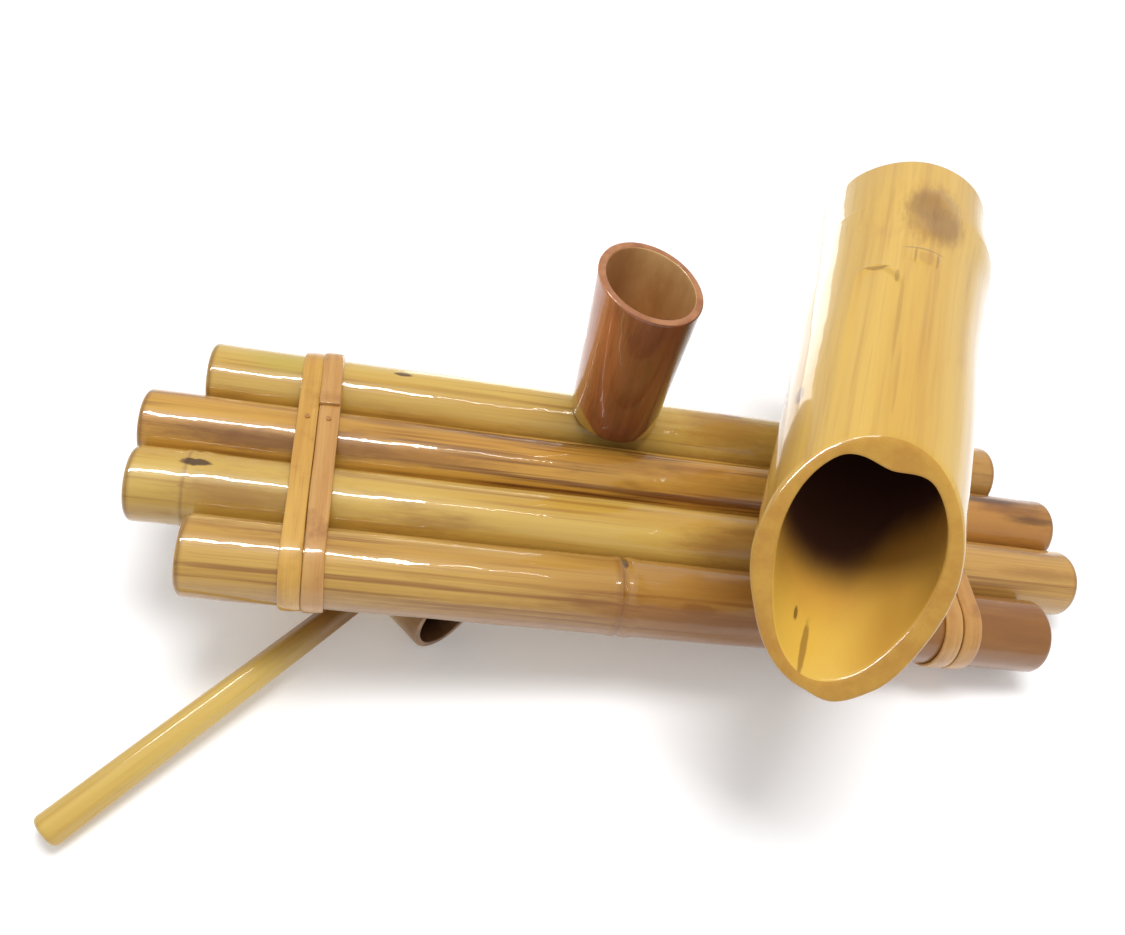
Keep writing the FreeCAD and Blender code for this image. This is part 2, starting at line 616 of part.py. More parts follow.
def cut_with_culm(body):
    """Take the spout culm's outer cone away from a body of the same frame."""
    primitive(body, "SubtractiveCone", "culm_seat",
              {"Radius1": "dims.spout_mouth_radius", "Radius2": "dims.spout_rear_radius",
               "Height": "dims.spout_length"}, at=mouth, along=spout_axis)


def make_block():
    """A wooden block, hollowed to the spout's round underside, flat below for the washer."""
    body = new_body("spout_block", SPOUT)
    top = spout_floor_depth() + dim("block_radius") / 3
    block = primitive(body, "AdditiveCylinder", "block", {"Radius": "dims.block_radius"},
                      at=Z * block_foot)
    block.Height = top - block_foot
    cut_with_culm(body)
    primitive(body, "SubtractiveCylinder", "bush_hole",
              {"Radius": "dims.bush_radius", "Height": "dims.riser_top"})
    for number, offset in enumerate(block_peg_places()):
        primitive(body, "SubtractiveCylinder", f"peg_hole_{number}",
                  {"Radius": "dims.block_peg_radius", "Height": "dims.riser_top"}, at=offset)


def make_bush():
    """The bush that seals and turns on the riser tube, from the block's foot up into the spout."""
    body = new_body("spout_bush", SPOUT)
    top = spout_floor_depth() + dim("spout_wall") + dim("bush_flange")
    sleeve = primitive(body, "AdditiveCylinder", "sleeve", {"Radius": "dims.bush_radius"},
                       at=Z * block_foot)
    sleeve.Height = top - block_foot
    primitive(body, "SubtractiveCylinder", "bore",
              {"Radius": "dims.riser_radius + dims.running_fit", "Height": "dims.riser_top"})


def make_block_pegs():
    """Two bamboo pegs, driven up through the block into the spout's wall."""
    shapes = []
    top = spout_floor_depth() + dim("spout_wall") * 0.7
    for offset in block_peg_places():
        foot = offset + Z * (block_foot + 2)
        shapes.append(Part.makeCylinder(dim("block_peg_radius"), top - foot.z, foot))
    group = doc.addObject("Part::Feature", "block_pegs")
    group.Shape = Part.makeCompound(shapes)
    group.Placement = SPOUT
    nodes.append(group)


make_spout()
make_block()
make_bush()
make_block_pegs()

# ---------------------------------------------------------------- ladle

ladle_turn = math.radians(dim("ladle_turn"))
outward = Vector(math.cos(ladle_turn), math.sin(ladle_turn), 0)
handle_tip = Vector(dim("ladle_tip_x"), dim("ladle_tip_y"), dim("handle_tip_radius"))
handle_joint = handle_tip + outward * dim("handle_reach")
handle_joint.z = dim("ladle_cup_radius")
handle_axis = (handle_joint - handle_tip).normalize()
handle_run = (handle_joint - handle_tip).Length
LADLE = GROUND.multiply(Placement(handle_joint, Rotation()))
cup_mouth_way = Vector(math.sin(ladle_turn), -math.cos(ladle_turn), 0)


def make_ladle_cup():
    """A short culm on its side, mouth to the front right, node wall at the back."""
    body = new_body("ladle_cup", LADLE)
    front = cup_mouth_way * dim("ladle_cup_front")
    back_way = cup_mouth_way * -1
    primitive(body, "AdditiveCylinder", "wall",
              {"Radius": "dims.ladle_cup_radius", "Height": "dims.ladle_cup_length"},
              at=front, along=back_way)
    primitive(body, "SubtractiveCylinder", "inside",
              {"Radius": "dims.ladle_cup_radius - dims.ladle_cup_wall",
               "Height": "dims.ladle_cup_length - dims.ladle_floor_back - dims.ladle_floor_thick"},
              at=front, along=back_way)
    floor_back = front + back_way * (dim("ladle_cup_length") - dim("ladle_floor_back"))
    primitive(body, "SubtractiveCylinder", "foot_hollow",
              {"Radius": "dims.ladle_cup_radius - dims.ladle_cup_wall",
               "Height": "dims.ladle_floor_back"},
              at=floor_back, along=back_way)
    primitive(body, "SubtractiveCylinder", "handle_hole",
              {"Radius": "dims.handle_tenon_radius + dims.peg_fit",
               "Height": "4 * dims.ladle_cup_radius"},
              at=handle_axis * (-2 * dim("ladle_cup_radius")), along=handle_axis)


def make_ladle_handle():
    """A slim tapering culm whose thin end passes through the ladle cup."""
    body = new_body("ladle_handle", LADLE)
    shoulder = dim("ladle_cup_radius") + 1.0
    grip = primitive(body, "AdditiveCone", "grip",
                     {"Radius1": "dims.handle_tip_radius", "Radius2": "dims.handle_neck_radius"},
                     at=handle_axis * -handle_run, along=handle_axis)
    grip.Height = handle_run - shoulder
    tenon = primitive(body, "AdditiveCylinder", "tenon", {"Radius": "dims.handle_tenon_radius"},
                      at=handle_axis * -(shoulder + 1), along=handle_axis)
    tenon.Height = 2 * shoulder + 4
    primitive(body, "SubtractiveCylinder", "peg_hole",
              {"Radius": "dims.ladle_peg_radius", "Height": "2 * dims.ladle_cup_radius"},
              at=ladle_peg_foot(), along=cup_mouth_way)


def ladle_peg_foot():
    """Start of the locking peg, just past the cup's far wall."""
    beyond = dim("ladle_cup_radius") + dim("ladle_peg_radius") + 0.6
    return handle_axis * beyond - cup_mouth_way * dim("ladle_cup_radius")


def make_ladle_peg():
    """A peg across the handle's end that keeps the cup from sliding off."""
    body = new_body("ladle_peg", LADLE)
    reach = dim("handle_tenon_radius") + 2.5
    foot = ladle_peg_foot() + cup_mouth_way * (dim("ladle_cup_radius") - reach)
    peg = primitive(body, "AdditiveCylinder", "rod", {"Radius": "dims.ladle_peg_radius"},
                    at=foot, along=cup_mouth_way)
    peg.Height = 2 * reach


make_ladle_cup()
make_ladle_handle()
make_ladle_peg()

# ---------------------------------------------------------------- checks and export

doc.recompute()
for thing in doc.Objects:
    if "Invalid" in thing.State or "Error" in thing.State:
        raise RuntimeError(f"{thing.Label} is {thing.State}")
box = FreeCAD.BoundBox()
for node in nodes:
    shape = node.Shape
    if shape.isNull() or not shape.isValid() or not shape.Solids:
        raise RuntimeError(f"{node.Label} has no valid shape")
    box.add(shape.optimalBoundingBox())
    print(f"{node.Label}: {len(shape.Solids)} solid, {shape.Volume / 1000:.1f} cm3")
print(f"box {box.XMin:.3f} {box.XMax:.3f} {box.YMin:.3f} {box.YMax:.3f} {box.ZMin:.3f} {box.ZMax:.3f}")

os.makedirs("parts", exist_ok=True)
for node in nodes:
    node.Shape.exportStep(f"parts/{node.Label}.step")
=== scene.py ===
import json
import math

import bmesh
import bpy
import numpy as np
from mathutils import Matrix, Vector


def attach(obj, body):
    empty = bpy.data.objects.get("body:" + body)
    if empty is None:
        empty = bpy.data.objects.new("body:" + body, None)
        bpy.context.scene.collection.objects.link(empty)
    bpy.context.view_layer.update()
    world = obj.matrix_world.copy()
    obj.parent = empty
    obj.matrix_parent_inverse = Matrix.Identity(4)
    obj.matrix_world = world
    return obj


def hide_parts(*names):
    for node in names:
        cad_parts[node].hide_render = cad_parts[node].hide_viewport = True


# Looks of a bamboo water-feature set: four lacquered culm poles tied with rattan strips, an upright
# cup, a slant-cut spout on a hidden riser post and a ladle underneath.  Sizes are in millimetres and
# angles in degrees.  Every culm has a frame of its own: x along the fibre, z up, and angles round it
# run from z towards -y.

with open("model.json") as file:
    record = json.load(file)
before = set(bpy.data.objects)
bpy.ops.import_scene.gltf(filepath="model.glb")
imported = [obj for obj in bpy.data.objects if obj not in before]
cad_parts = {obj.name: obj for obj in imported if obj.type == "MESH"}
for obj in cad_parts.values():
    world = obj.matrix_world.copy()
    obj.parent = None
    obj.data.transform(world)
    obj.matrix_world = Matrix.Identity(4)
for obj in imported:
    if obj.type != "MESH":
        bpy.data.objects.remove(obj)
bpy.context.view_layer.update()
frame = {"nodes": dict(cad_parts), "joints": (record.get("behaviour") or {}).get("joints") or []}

MM = 0.001

# ---- frames

# the third and the back pole's axes, measured across the raft from the front pole's axis
THIRD_Y, BACK_Y = 74.287, 111.08

# The swivel joint ties the raft's own frame (x along the poles, z = 0 under them) to the row's.
SWIVEL_IN_RAFT = Vector((95.0, THIRD_Y, 70.0)) * MM
swivel = next(joint for joint in frame["joints"] if joint["name"] == "spout_swivel")
PITCH = math.atan2(swivel["axis"][0], swivel["axis"][2])
RAFT = (Matrix.Translation(swivel["pos_m"])
        @ Matrix.Rotation(PITCH, 4, "Y")
        @ Matrix.Translation(-SWIVEL_IN_RAFT))


def axes(origin, along, up=(0, 0, 1)):
    """A frame at a point in mm, with x along a direction and z as near to up as it can be."""
    x = Vector(along).normalized()
    z = Vector(up)
    z = (z - x * z.dot(x)).normalized()
    y = z.cross(x)
    matrix = Matrix((x, y, z)).transposed().to_4x4()
    matrix.translation = Vector(origin) * MM
    return matrix


# ---- meshes


def bump(d, width):
    """A bell of height 1 whose value is 1/e at the width."""
    return np.exp(-(d / width) ** 2)


def ease(value, low, high):
    """0 below low, 1 above high, smooth between."""
    t = np.clip((np.asarray(value, float) - low) / (high - low), 0, 1)
    return t * t * (3 - 2 * t)


def turn_gap(angle, centre):
    """Difference of two angles in degrees, wrapped to -180..180."""
    return (angle - centre + 180) % 360 - 180


def round_table(angle, table):
    """Smooth interpolation in a table of (angle, value) that runs from -180 to 180."""
    angle = (np.asarray(angle, float) + 180) % 360 - 180
    result = np.zeros_like(angle)
    for (a0, v0), (a1, v1) in zip(table, table[1:]):
        inside = (angle >= a0) & (angle <= a1)
        result = np.where(inside, v0 + (v1 - v0) * ease(angle, a0, a1), result)
    return result


def new_object(name, data):
    thing = bpy.data.objects.new(name, data)
    bpy.context.scene.collection.objects.link(thing)
    return thing


def make_piece(name, points, faces, zones, materials, place, bore=None):
    """A smooth-shaded mesh object; zones give each face its material.

    The points keep their own-frame place in the attribute "culm" and then move to the row's frame.
    """
    mesh = bpy.data.meshes.new(name)
    mesh.from_pydata((np.asarray(points, float) * MM).tolist(), [], faces)
    for material in materials:
        mesh.materials.append(material)
    mesh.polygons.foreach_set("material_index", zones)
    mesh.polygons.foreach_set("use_smooth", [True] * len(mesh.polygons))
    tidy = bmesh.new()
    tidy.from_mesh(mesh)
    bmesh.ops.recalc_face_normals(tidy, faces=tidy.faces)
    tidy.to_mesh(mesh)
    tidy.free()
    piece = new_object(name, mesh)
    if bore:
        bore(piece)
        mesh = piece.data
    own = np.empty(len(mesh.vertices) * 3, dtype=np.float32)
    mesh.vertices.foreach_get("co", own)
    mesh.attributes.new("culm", "FLOAT_VECTOR", "POINT").data.foreach_set("vector", own)
    mesh.transform(place)
    mesh.update()
    return piece


def grid_faces(rows, columns, closed):
    """Quads between neighbouring rows of a grid that wraps round its columns."""
    faces = []
    last = rows if closed else rows - 1
    for i in range(last):
        below = i * columns
        above = ((i + 1) % rows) * columns
        for j in range(columns):
            k = (j + 1) % columns
            faces.append((below + j, below + k, above + k, above + j))
    return faces


def revolve(name, place, xs, radii, zones, materials, solid=False, bore=None):
    """A surface turned round x.  xs and radii are (rows, columns); zones name each row's material.

    A hollow shape is a closed loop of rows; a solid one ends in a point on the axis at both ends.
    """
    rows, columns = radii.shape
    turn = np.radians(angles_round(columns))[None, :]
    points = np.stack([xs, -radii * np.sin(turn), radii * np.cos(turn)], axis=-1).reshape(-1, 3)
    faces = grid_faces(rows, columns, not solid)
    face_zones = np.repeat(zones[: len(faces) // columns], columns).tolist()
    if solid:
        tips = np.array([[xs[0].mean(), 0, 0], [xs[-1].mean(), 0, 0]])
        points = np.vstack([points, tips])
        first, last = rows * columns, rows * columns + 1
        end = (rows - 1) * columns
        for j in range(columns):
            k = (j + 1) % columns
            faces.append((first, k, j))
            faces.append((last, end + j, end + k))
            face_zones += [zones[0], zones[-1]]
    return make_piece(name, points, faces, face_zones, materials, place, bore)


def angles_round(columns):
    """The angle of each column, in degrees from -180."""
    return np.arange(columns) * 360.0 / columns - 180.0


def corner(before, at, after, lengths, steps):
    """Points of a rounded corner: a quadratic curve that leaves both sides at the given lengths."""
    def towards(a, b, length):
        gap = np.hypot(b[0] - a[0], b[1] - a[1])
        share = length / np.maximum(gap, 1e-6)
        return (a[0] + (b[0] - a[0]) * share, a[1] + (b[1] - a[1]) * share)

    start = towards(at, before, lengths[0])
    end = towards(at, after, lengths[1])
    points = []
    for t in np.linspace(0, 1, steps):
        points.append(tuple(start[i] * (1 - t) ** 2 + 2 * at[i] * t * (1 - t) + end[i] * t * t
                            for i in (0, 1)))
    return points


SKIN, CUT, INSIDE = 0, 1, 2


class Profile:
    """Rows of a culm's section: (x, radius) arrays over the angles, and the material of each."""

    def __init__(self, columns):
        self.columns = columns
        self.rows = []

    def add(self, x, radius, zone):
        ones = np.ones(self.columns)
        self.rows.append((x * ones, radius * ones, zone))

    def run(self, start, end, steps, zone, first=1):
        """Straight rows between two (x, radius) points, without the end and, as a rule, the start."""
        for i in range(first, steps):
            t = i / steps
            self.add(start[0] + (end[0] - start[0]) * t, start[1] + (end[1] - start[1]) * t, zone)

    def corner(self, before, at, after, lengths, steps, zones):
        """Rows of a rounded corner, half in each zone; a single length or zone holds for both sides."""
        lengths, zones = (pair if isinstance(pair, tuple) else (pair, pair) for pair in (lengths, zones))
        points = corner(before, at, after, lengths, steps)
        for i, (x, radius) in enumerate(points):
            self.add(x, radius, zones[0] if i < steps // 2 else zones[1])
        return points

    def arrays(self):
        xs = np.array([row[0] for row in self.rows])
        radii = np.array([row[1] for row in self.rows])
        return xs, radii, [row[2] for row in self.rows]


# ---- materials


def srgb(red, green, blue):
    """A colour given as 0..255 display values, as linear light."""
    def linear(value):
        value = value / 255
        return value / 12.92 if value <= 0.04045 else ((value + 0.055) / 1.055) ** 2.4

    return (linear(red), linear(green), linear(blue), 1.0)


class Look:
    """A procedural material under construction; its masks and colours are output sockets."""

    def __init__(self, name, carried=False):
        self.material = bpy.data.materials.new(name)
        self.material.use_nodes = True
        self.nodes = self.material.node_tree.nodes
        self.links = self.material.node_tree.links
        self.shader = self.nodes["Principled BSDF"]
        if carried:
            self.place = self.node("ShaderNodeTexCoord").outputs["Object"]
        else:
            own = self.node("ShaderNodeAttribute")
            own.attribute_name = "culm"
            self.place = own.outputs["Vector"]
        split = self.node("ShaderNodeSeparateXYZ", Vector=self.place)
        self.x, self.y, self.z = (self.math("MULTIPLY", split.outputs[axis], 1000.0) for axis in "XYZ")

    def node(self, kind, **inputs):
        node = self.nodes.new(kind)
        for name, value in inputs.items():
            self.plug(node.inputs[name], value)
        return node

    def plug(self, socket, value):
        if isinstance(value, bpy.types.NodeSocket):
            self.links.new(value, socket)
        else:
            socket.default_value = value

    def math(self, operation, first, second=0.0):
        node = self.nodes.new("ShaderNodeMath")
        node.operation = operation
        self.plug(node.inputs[0], first)
        self.plug(node.inputs[1], second)
        return node.outputs[0]

    def angle(self):
        """Angle round the culm in degrees, 0 on top, positive towards -y."""
        radians = self.math("ARCTAN2", self.math("MULTIPLY", self.y, -1.0), self.z)
        return self.math("MULTIPLY", radians, 180 / math.pi)

    def fade(self, value, low, high):
        """0 at low, 1 at high, smooth; low may be above high."""
        node = self.nodes.new("ShaderNodeMapRange")
        node.interpolation_type = "SMOOTHSTEP"
        self.plug(node.inputs["Value"], value)
        node.inputs["From Min"].default_value = min(low, high)
        node.inputs["From Max"].default_value = max(low, high)
        node.inputs["To Min"].default_value = float(low > high)
        node.inputs["To Max"].default_value = float(low < high)
        return node.outputs["Result"]

    def scaled(self, *cycles):
        """Coordinates scaled by cycles per metre along each axis."""
        node = self.nodes.new("ShaderNodeVectorMath")
        node.operation = "MULTIPLY"
        self.plug(node.inputs[0], self.place)
        node.inputs[1].default_value = cycles
        return node.outputs[0]

    def noise(self, along, across, detail, roughness, shift):
        """Noise stretched by its cycles per metre along and across the fibre."""
        node = self.node("ShaderNodeTexNoise", Vector=self.scaled(along, across, across), Scale=1.0,
                         Detail=detail, Roughness=roughness)
        node.noise_dimensions = "4D"
        node.inputs["W"].default_value = shift
        return node.outputs[0]

    def mix(self, factor, first, second):
        node = self.nodes.new("ShaderNodeMix")
        node.data_type = "RGBA"
        self.plug(node.inputs[0], factor)
        self.plug(node.inputs[6], first)
        self.plug(node.inputs[7], second)
        return node.outputs[2]

    def over(self, colour, tint, where, amount):
        """The tint laid over a colour, by an amount, where a 0..1 mask says."""
        return self.mix(self.share(where, amount), colour, tint)

    def moved(self, value, noise, amount):
        """A value shifted both ways by a 0..1 noise, over a span of the amount."""
        return self.math("ADD", value, self.share(self.math("SUBTRACT", noise, 0.5), amount))

    def height_to_normal(self, height, distance):
        node = self.nodes.new("ShaderNodeBump")
        node.inputs["Strength"].default_value = 1.0
        node.inputs["Distance"].default_value = distance * MM
        self.plug(node.inputs["Height"], height)
        return node.outputs[0]

    def spot(self, x, turn, radius, long, wide, ragged=0.6, shift=0.0, soft=0.5):
        """1 inside a ragged oval mark at (x, angle) on a culm of that radius, 0 outside."""
        dx = self.math("DIVIDE", self.math("SUBTRACT", self.x, x), long)
        gap = self.math("SUBTRACT", self.angle(), turn)
        dy = self.math("MULTIPLY", gap, math.radians(1) * radius / wide)
        far = self.math("SQRT", self.math("ADD", self.math("MULTIPLY", dx, dx),
                                          self.math("MULTIPLY", dy, dy)))
        wobble = self.math("SUBTRACT", self.noise(120, 420, 4.0, 0.6, shift), 0.5)
        far = self.math("ADD", far, self.math("MULTIPLY", wobble, ragged * 2))
        return self.fade(far, 1.0 + soft / 2, 1.0 - soft / 2)

    def ring(self, x, width, soft=0.6):
        """1 within a ring round the culm at x."""
        wobble = self.math("SUBTRACT", self.noise(8, 60, 3.0, 0.6, 4.0), 0.5)
        gap = self.math("ABSOLUTE", self.math("SUBTRACT", self.x, self.math("ADD", wobble, x)))
        return self.fade(gap, width * (1 + soft), width * (1 - soft))

    def share(self, factor, amount):
        return self.math("MULTIPLY", factor, amount)

    def finish(self, **inputs):
        """The material, its shader's inputs set or linked; _ stands for the spaces in their names."""
        for name, value in inputs.items():
            self.plug(self.shader.inputs[name.replace("_", " ")], value)
        return self.material

    def lacquer(self, colour, fibre, wave, roughness=0.34, coat=1.0, coat_roughness=0.05):
        """Clear gloss over wood: fibre relief under the coat, slow waves on the coat."""
        return self.finish(Base_Color=colour, Roughness=roughness, IOR=1.45, Specular_IOR_Level=0.25,
                           Coat_Weight=coat, Coat_Roughness=coat_roughness, Coat_IOR=1.5,
                           Normal=self.height_to_normal(*fibre),
                           Coat_Normal=self.height_to_normal(*wave))


PALE = srgb(202, 170, 88)
GOLD = srgb(188, 148, 62)
TAN = srgb(176, 128, 64)
BROWN = srgb(128, 80, 34)
DARK = srgb(60, 34, 16)


def bamboo_skin(name, radius, pale=PALE, gold=GOLD, tan=TAN, brown=BROWN, tan_from=None, patchy=0.5,
                streaky=0.5, rings=(), marks=(), seed=0.0):
    """Lacquered culm skin: fibres, bands, age patches, node lines and single marks.

    tan_from is the pair of x between which the culm turns browner, its own tone mixed with painted shade
    and reflection under the spout; a ring is (x, half width, strength) and a mark is (x, angle, half
    length, half width, strength, colour).
    """
    look = Look(name)
    band = look.noise(3.2, 95, 3.0, 0.55, seed + 1.0)
    colour = look.mix(look.fade(band, 0.36, 0.64), pale, gold)
    patch = look.noise(9, 42, 5.0, 0.62, seed + 2.0)
    # browner towards the right: the culm's own tone, partly painted shade and reflection under the spout
    if tan_from:
        tan_and_shade = look.fade(look.moved(look.x, patch, 90.0), *tan_from)
        colour = look.over(colour, tan, tan_and_shade, 0.85)
    colour = look.over(colour, brown, look.fade(patch, 0.54, 0.72), patchy)
    streak = look.noise(5, 330, 3.0, 0.6, seed + 3.0)
    where = look.fade(look.noise(7, 60, 2.0, 0.5, seed + 4.0), 0.38, 0.62)
    streak = look.math("MULTIPLY", look.fade(streak, 0.56 - 0.1 * streaky, 0.7 - 0.1 * streaky), where)
    colour = look.over(colour, brown, streak, streaky)
    fibre = look.noise(11, 1300, 3.0, 0.65, seed + 5.0)
    colour = look.over(colour, tan, look.fade(fibre, 0.45, 0.75), 0.3)
    dash = look.noise(34, 620, 3.0, 0.7, seed + 6.0)
    colour = look.over(colour, DARK, look.fade(dash, 0.70, 0.78), 0.55)
    for x, width, strength in rings:
        colour = look.over(colour, BROWN, look.ring(x, width), strength)
        colour = look.over(colour, DARK, look.ring(x + 0.4, 0.5), strength * 0.6)
    for number, (x, turn, long, wide, strength, tint) in enumerate(marks):
        soft = 0.5 if long < 12 else 1.4
        spot = look.spot(x, turn, radius, long, wide, shift=seed + number, soft=soft)
        colour = look.over(colour, tint, spot, strength)
    wave = look.math("ADD", look.noise(28, 60, 2.0, 0.5, seed + 8.0),
                     look.share(look.noise(110, 160, 2.0, 0.5, seed + 9.0), 0.35))
    return look.lacquer(colour, (fibre, 0.10), (wave, 0.6))


def cut_face(name, light, dark, shine=0.8):
    """Sawn bamboo end: dots of fibre bundles, under lacquer."""
    look = Look(name)
    dots = look.noise(900, 1500, 2.0, 0.5, 3.0)
    cloud = look.noise(90, 90, 4.0, 0.6, 1.0)
    colour = look.mix(look.fade(cloud, 0.35, 0.65), light, dark)
    colour = look.over(colour, dark, look.fade(dots, 0.55, 0.68), 0.4)
    return look.lacquer(colour, (dots, 0.06), (cloud, 0.3), coat=shine, coat_roughness=0.08)


def culm_inside(name, light, dark, deep=None):
    """Inner wall: smooth pale pith, with painted shade that darkens it deep inside."""
    look = Look(name)
    cloud = look.noise(22, 90, 4.0, 0.6, 7.0)
    colour = look.mix(look.fade(cloud, 0.35, 0.7), light, dark)
    # painted shade: darker deeper into the culm
    if deep:
        colour = look.over(colour, srgb(40, 24, 16), look.fade(look.x, *deep), 0.92)
    return look.lacquer(colour, (cloud, 0.2), (cloud, 0.3), roughness=0.55, coat=0.35,
                        coat_roughness=0.2)


# ---- poles

# raft x of the left end, length, y of the axis, radius, raft x of the node ring
POLES = {
    "front": (-218.6, 436.3, 0.0, 19.3, -16.0),
    "second": (-250.0, 501.0, 37.69, 18.3, -224.0),
    "third": (-253.0, 504.0, THIRD_Y, 18.2, 128.0),
    "back": (-229.0, 454.0, BACK_Y, 18.6, 206.0),
}
POLE_WALL = 5.0
POLE_AROUND = 96
END_ROUND = 3.2
END_LINE = 1.6
LIP_ROUND = 1.0
SEPTUM = 5.0
DRYING_HOLE = 3.0

POLE_LOOKS = {
    "front": dict(
        pale=srgb(196, 156, 78), gold=srgb(182, 138, 58), tan=srgb(134, 82, 36),
        tan_from=(90.0, 330.0), patchy=0.7, streaky=0.75, seed=0.0,
        rings=((203.0, 2.6, 0.4),),
        marks=((241.6, 40, 9, 3, 0.7, BROWN), (258.6, 58, 30, 5.0, 0.7, BROWN),
               (222.0, 52, 30, 7.0, 0.6, BROWN), (205.0, -30, 1.6, 5.0, 0.8, DARK),
               (300.0, 100, 190, 14, 0.6, BROWN), (90.0, 106, 100, 9, 0.4, BROWN),
               (410.0, 20, 30, 5, 0.6, BROWN), (424.0, -6, 16, 2.4, 0.6, BROWN),
               (396.0, 8, 22, 2.0, 0.6, BROWN), (420.0, 38, 18, 2.6, 0.6, BROWN))),
    "second": dict(
        tan_from=(230.0, 380.0), patchy=0.6, streaky=0.65, seed=20.0,
        rings=((26.0, 0.9, 0.25),),
        tan=srgb(190, 144, 76),
        marks=((30.0, -8, 6.5, 2.2, 0.9, DARK), (46.0, 34, 20, 9, 0.4, BROWN),
               # the brown mark at 296 beside the spout is partly painted shade
               (60.0, 40, 30, 5, 0.3, BROWN), (296.0, 36, 26, 9, 0.55, BROWN),
               (468.0, -24, 34, 2.6, 0.5, BROWN), (478.0, 22, 24, 3.0, 0.45, BROWN))),
    "third": dict(
        pale=srgb(200, 154, 66), gold=srgb(182, 130, 50), tan=srgb(174, 120, 56), patchy=0.8,
        brown=srgb(98, 52, 20), streaky=0.95, tan_from=(330.0, 480.0), seed=40.0,
        rings=((381.0, 1.2, 0.5),),
        marks=((253.0, -19, 9, 3, 0.5, BROWN), (286.0, 1, 14, 2, 0.5, BROWN),
               (60.0, 44, 46, 5, 0.75, srgb(104, 58, 28)), (130.0, 40, 40, 4, 0.6, BROWN),
               # the brown mark at 296 beside the spout is partly painted shade
               (296.0, 30, 30, 8, 0.5, BROWN), (478.0, 4, 20, 3, 0.7, BROWN),
               (462.0, -16, 26, 2.2, 0.7, DARK), (488.0, 20, 14, 2.4, 0.6, DARK))),
    "back": dict(
        tan_from=(320.0, 440.0), seed=60.0,
        rings=((435.0, 1.2, 0.5),),
        marks=((38.0, -1, 16, 8, 0.6, srgb(176, 158, 70)), (99.0, -12, 4.5, 1.6, 0.85, DARK),
               # the brown mark at 282 beside the spout is partly painted shade
               (286.0, -27, 8, 3, 0.7, BROWN), (282.0, 10, 26, 14, 0.6, BROWN))),
}


def node_relief(d):
    """Height of a culm's node along x: the sheath scar, the groove and the broad ridge."""
    return 0.75 * bump(d, 1.5) - 0.3 * bump(d - 2.8, 1.0) + 0.6 * bump(d - 6.5, 3.2)


def pole_waves(x, angle, seed):
    """Slow unevenness of a culm's surface."""
    turn = np.radians(angle)
    return (0.10 * np.sin(x / 31 + 2 * turn + seed) + 0.08 * np.sin(x / 17 - 3 * turn + 2 * seed)
            + 0.05 * np.sin(x / 9 + turn + 3 * seed) - 0.18)


def make_pole(pole):
    left, length, y, radius, ring = POLES[pole]
    bore = radius - POLE_WALL
    node = ring - left
    profile = Profile(POLE_AROUND)
    inner_left, outer_left = (0, bore), (0, radius)
    outer_right, inner_right = (length, radius), (length, bore)
    profile.corner((SEPTUM, bore), inner_left, outer_left, LIP_ROUND, 4, (INSIDE, CUT))
    profile.corner(inner_left, outer_left, (END_ROUND * 2, radius), END_ROUND, 7, (CUT, SKIN))
    steps = round((length - 2 * END_ROUND) / 2.0)
    profile.run((END_ROUND, radius), (length - END_ROUND, radius), steps, SKIN)
    profile.corner((0, radius), outer_right, inner_right, END_ROUND, 7, (SKIN, CUT))
    profile.corner(outer_right, inner_right, (0, bore), LIP_ROUND, 4, (CUT, INSIDE))
    near, far = node + SEPTUM / 2, node - SEPTUM / 2
    profile.run((length - 2, bore), (near, bore), 20, INSIDE)
    profile.corner((length, bore), (near, bore), (near, DRYING_HOLE), 3.0, 4, INSIDE)
    profile.add(near, DRYING_HOLE, INSIDE)
    profile.add(far, DRYING_HOLE, INSIDE)
    profile.corner((far, DRYING_HOLE), (far, bore), (0, bore), 3.0, 4, INSIDE)
    profile.run((far, bore), (2, bore), 12, INSIDE)
    xs, radii, zones = profile.arrays()
    angle = angles_round(POLE_AROUND)[None, :]
    outer = np.clip((radii - bore) / POLE_WALL, 0, 1)
    ends = ease(xs, 0, 12) * ease(xs, length, length - 12)
    radii = radii + outer * ends * (pole_waves(xs, angle, ring) + node_relief(xs - node))
    place = RAFT @ axes((left, y, radius), (1, 0, 0))
    tone = dict(POLE_LOOKS[pole])
    # the lacquer gathers in a darker line beside each sawn end
    tone["rings"] += tuple((x, END_LINE, 0.4) for x in (END_LINE, length - END_LINE))
    looks = [bamboo_skin(f"skin_{pole}", radius, **tone), POLE_CUT, POLE_INSIDE]
    piece = revolve(f"{pole}_pole", place, xs, radii, zones, looks)
    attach(piece, "raft")
    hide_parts(f"pole_{pole}")


POLE_CUT = cut_face("pole_cut", srgb(196, 158, 92), srgb(160, 114, 58))
POLE_INSIDE = culm_inside("pole_inside", srgb(170, 130, 80), srgb(120, 84, 50))
for pole in POLES:
    make_pole(pole)

# ---- rattan strips

STRIP_WIDTH = 10.1
STRIP_THICK = 2.0
STRIP_STEP = 1.6
FRONT_RADIUS, BACK_RADIUS = POLES["front"][3], POLES["back"][3]
HALF_PITCH = 5.15
SLANT = 3.7
LEFT_X = -168.0 + math.tan(math.radians(SLANT)) * BACK_Y / 2
RIGHT_X = 164.5

YELLOWER = (srgb(204, 158, 72), srgb(188, 138, 58), srgb(146, 92, 40))
PINKER = (srgb(196, 150, 84), srgb(180, 128, 66), srgb(140, 86, 42))

# raft x on the front pole, slant, which way round it is wound, where along the loop it starts, how
# far its end laps over, and its colours
STRIPS = {
    "strip_left_outer": (LEFT_X - HALF_PITCH, SLANT, 1, 0.72, 24.0, YELLOWER),
    "strip_left_inner": (LEFT_X + HALF_PITCH, SLANT, -1, 0.66, 34.0, PINKER),
    "strip_right_inner": (RIGHT_X - HALF_PITCH, 0.0, 1, 0.70, 24.0, PINKER),
    "strip_right_outer": (RIGHT_X + HALF_PITCH, 0.0, 1, 0.76, 24.0, PINKER),
}


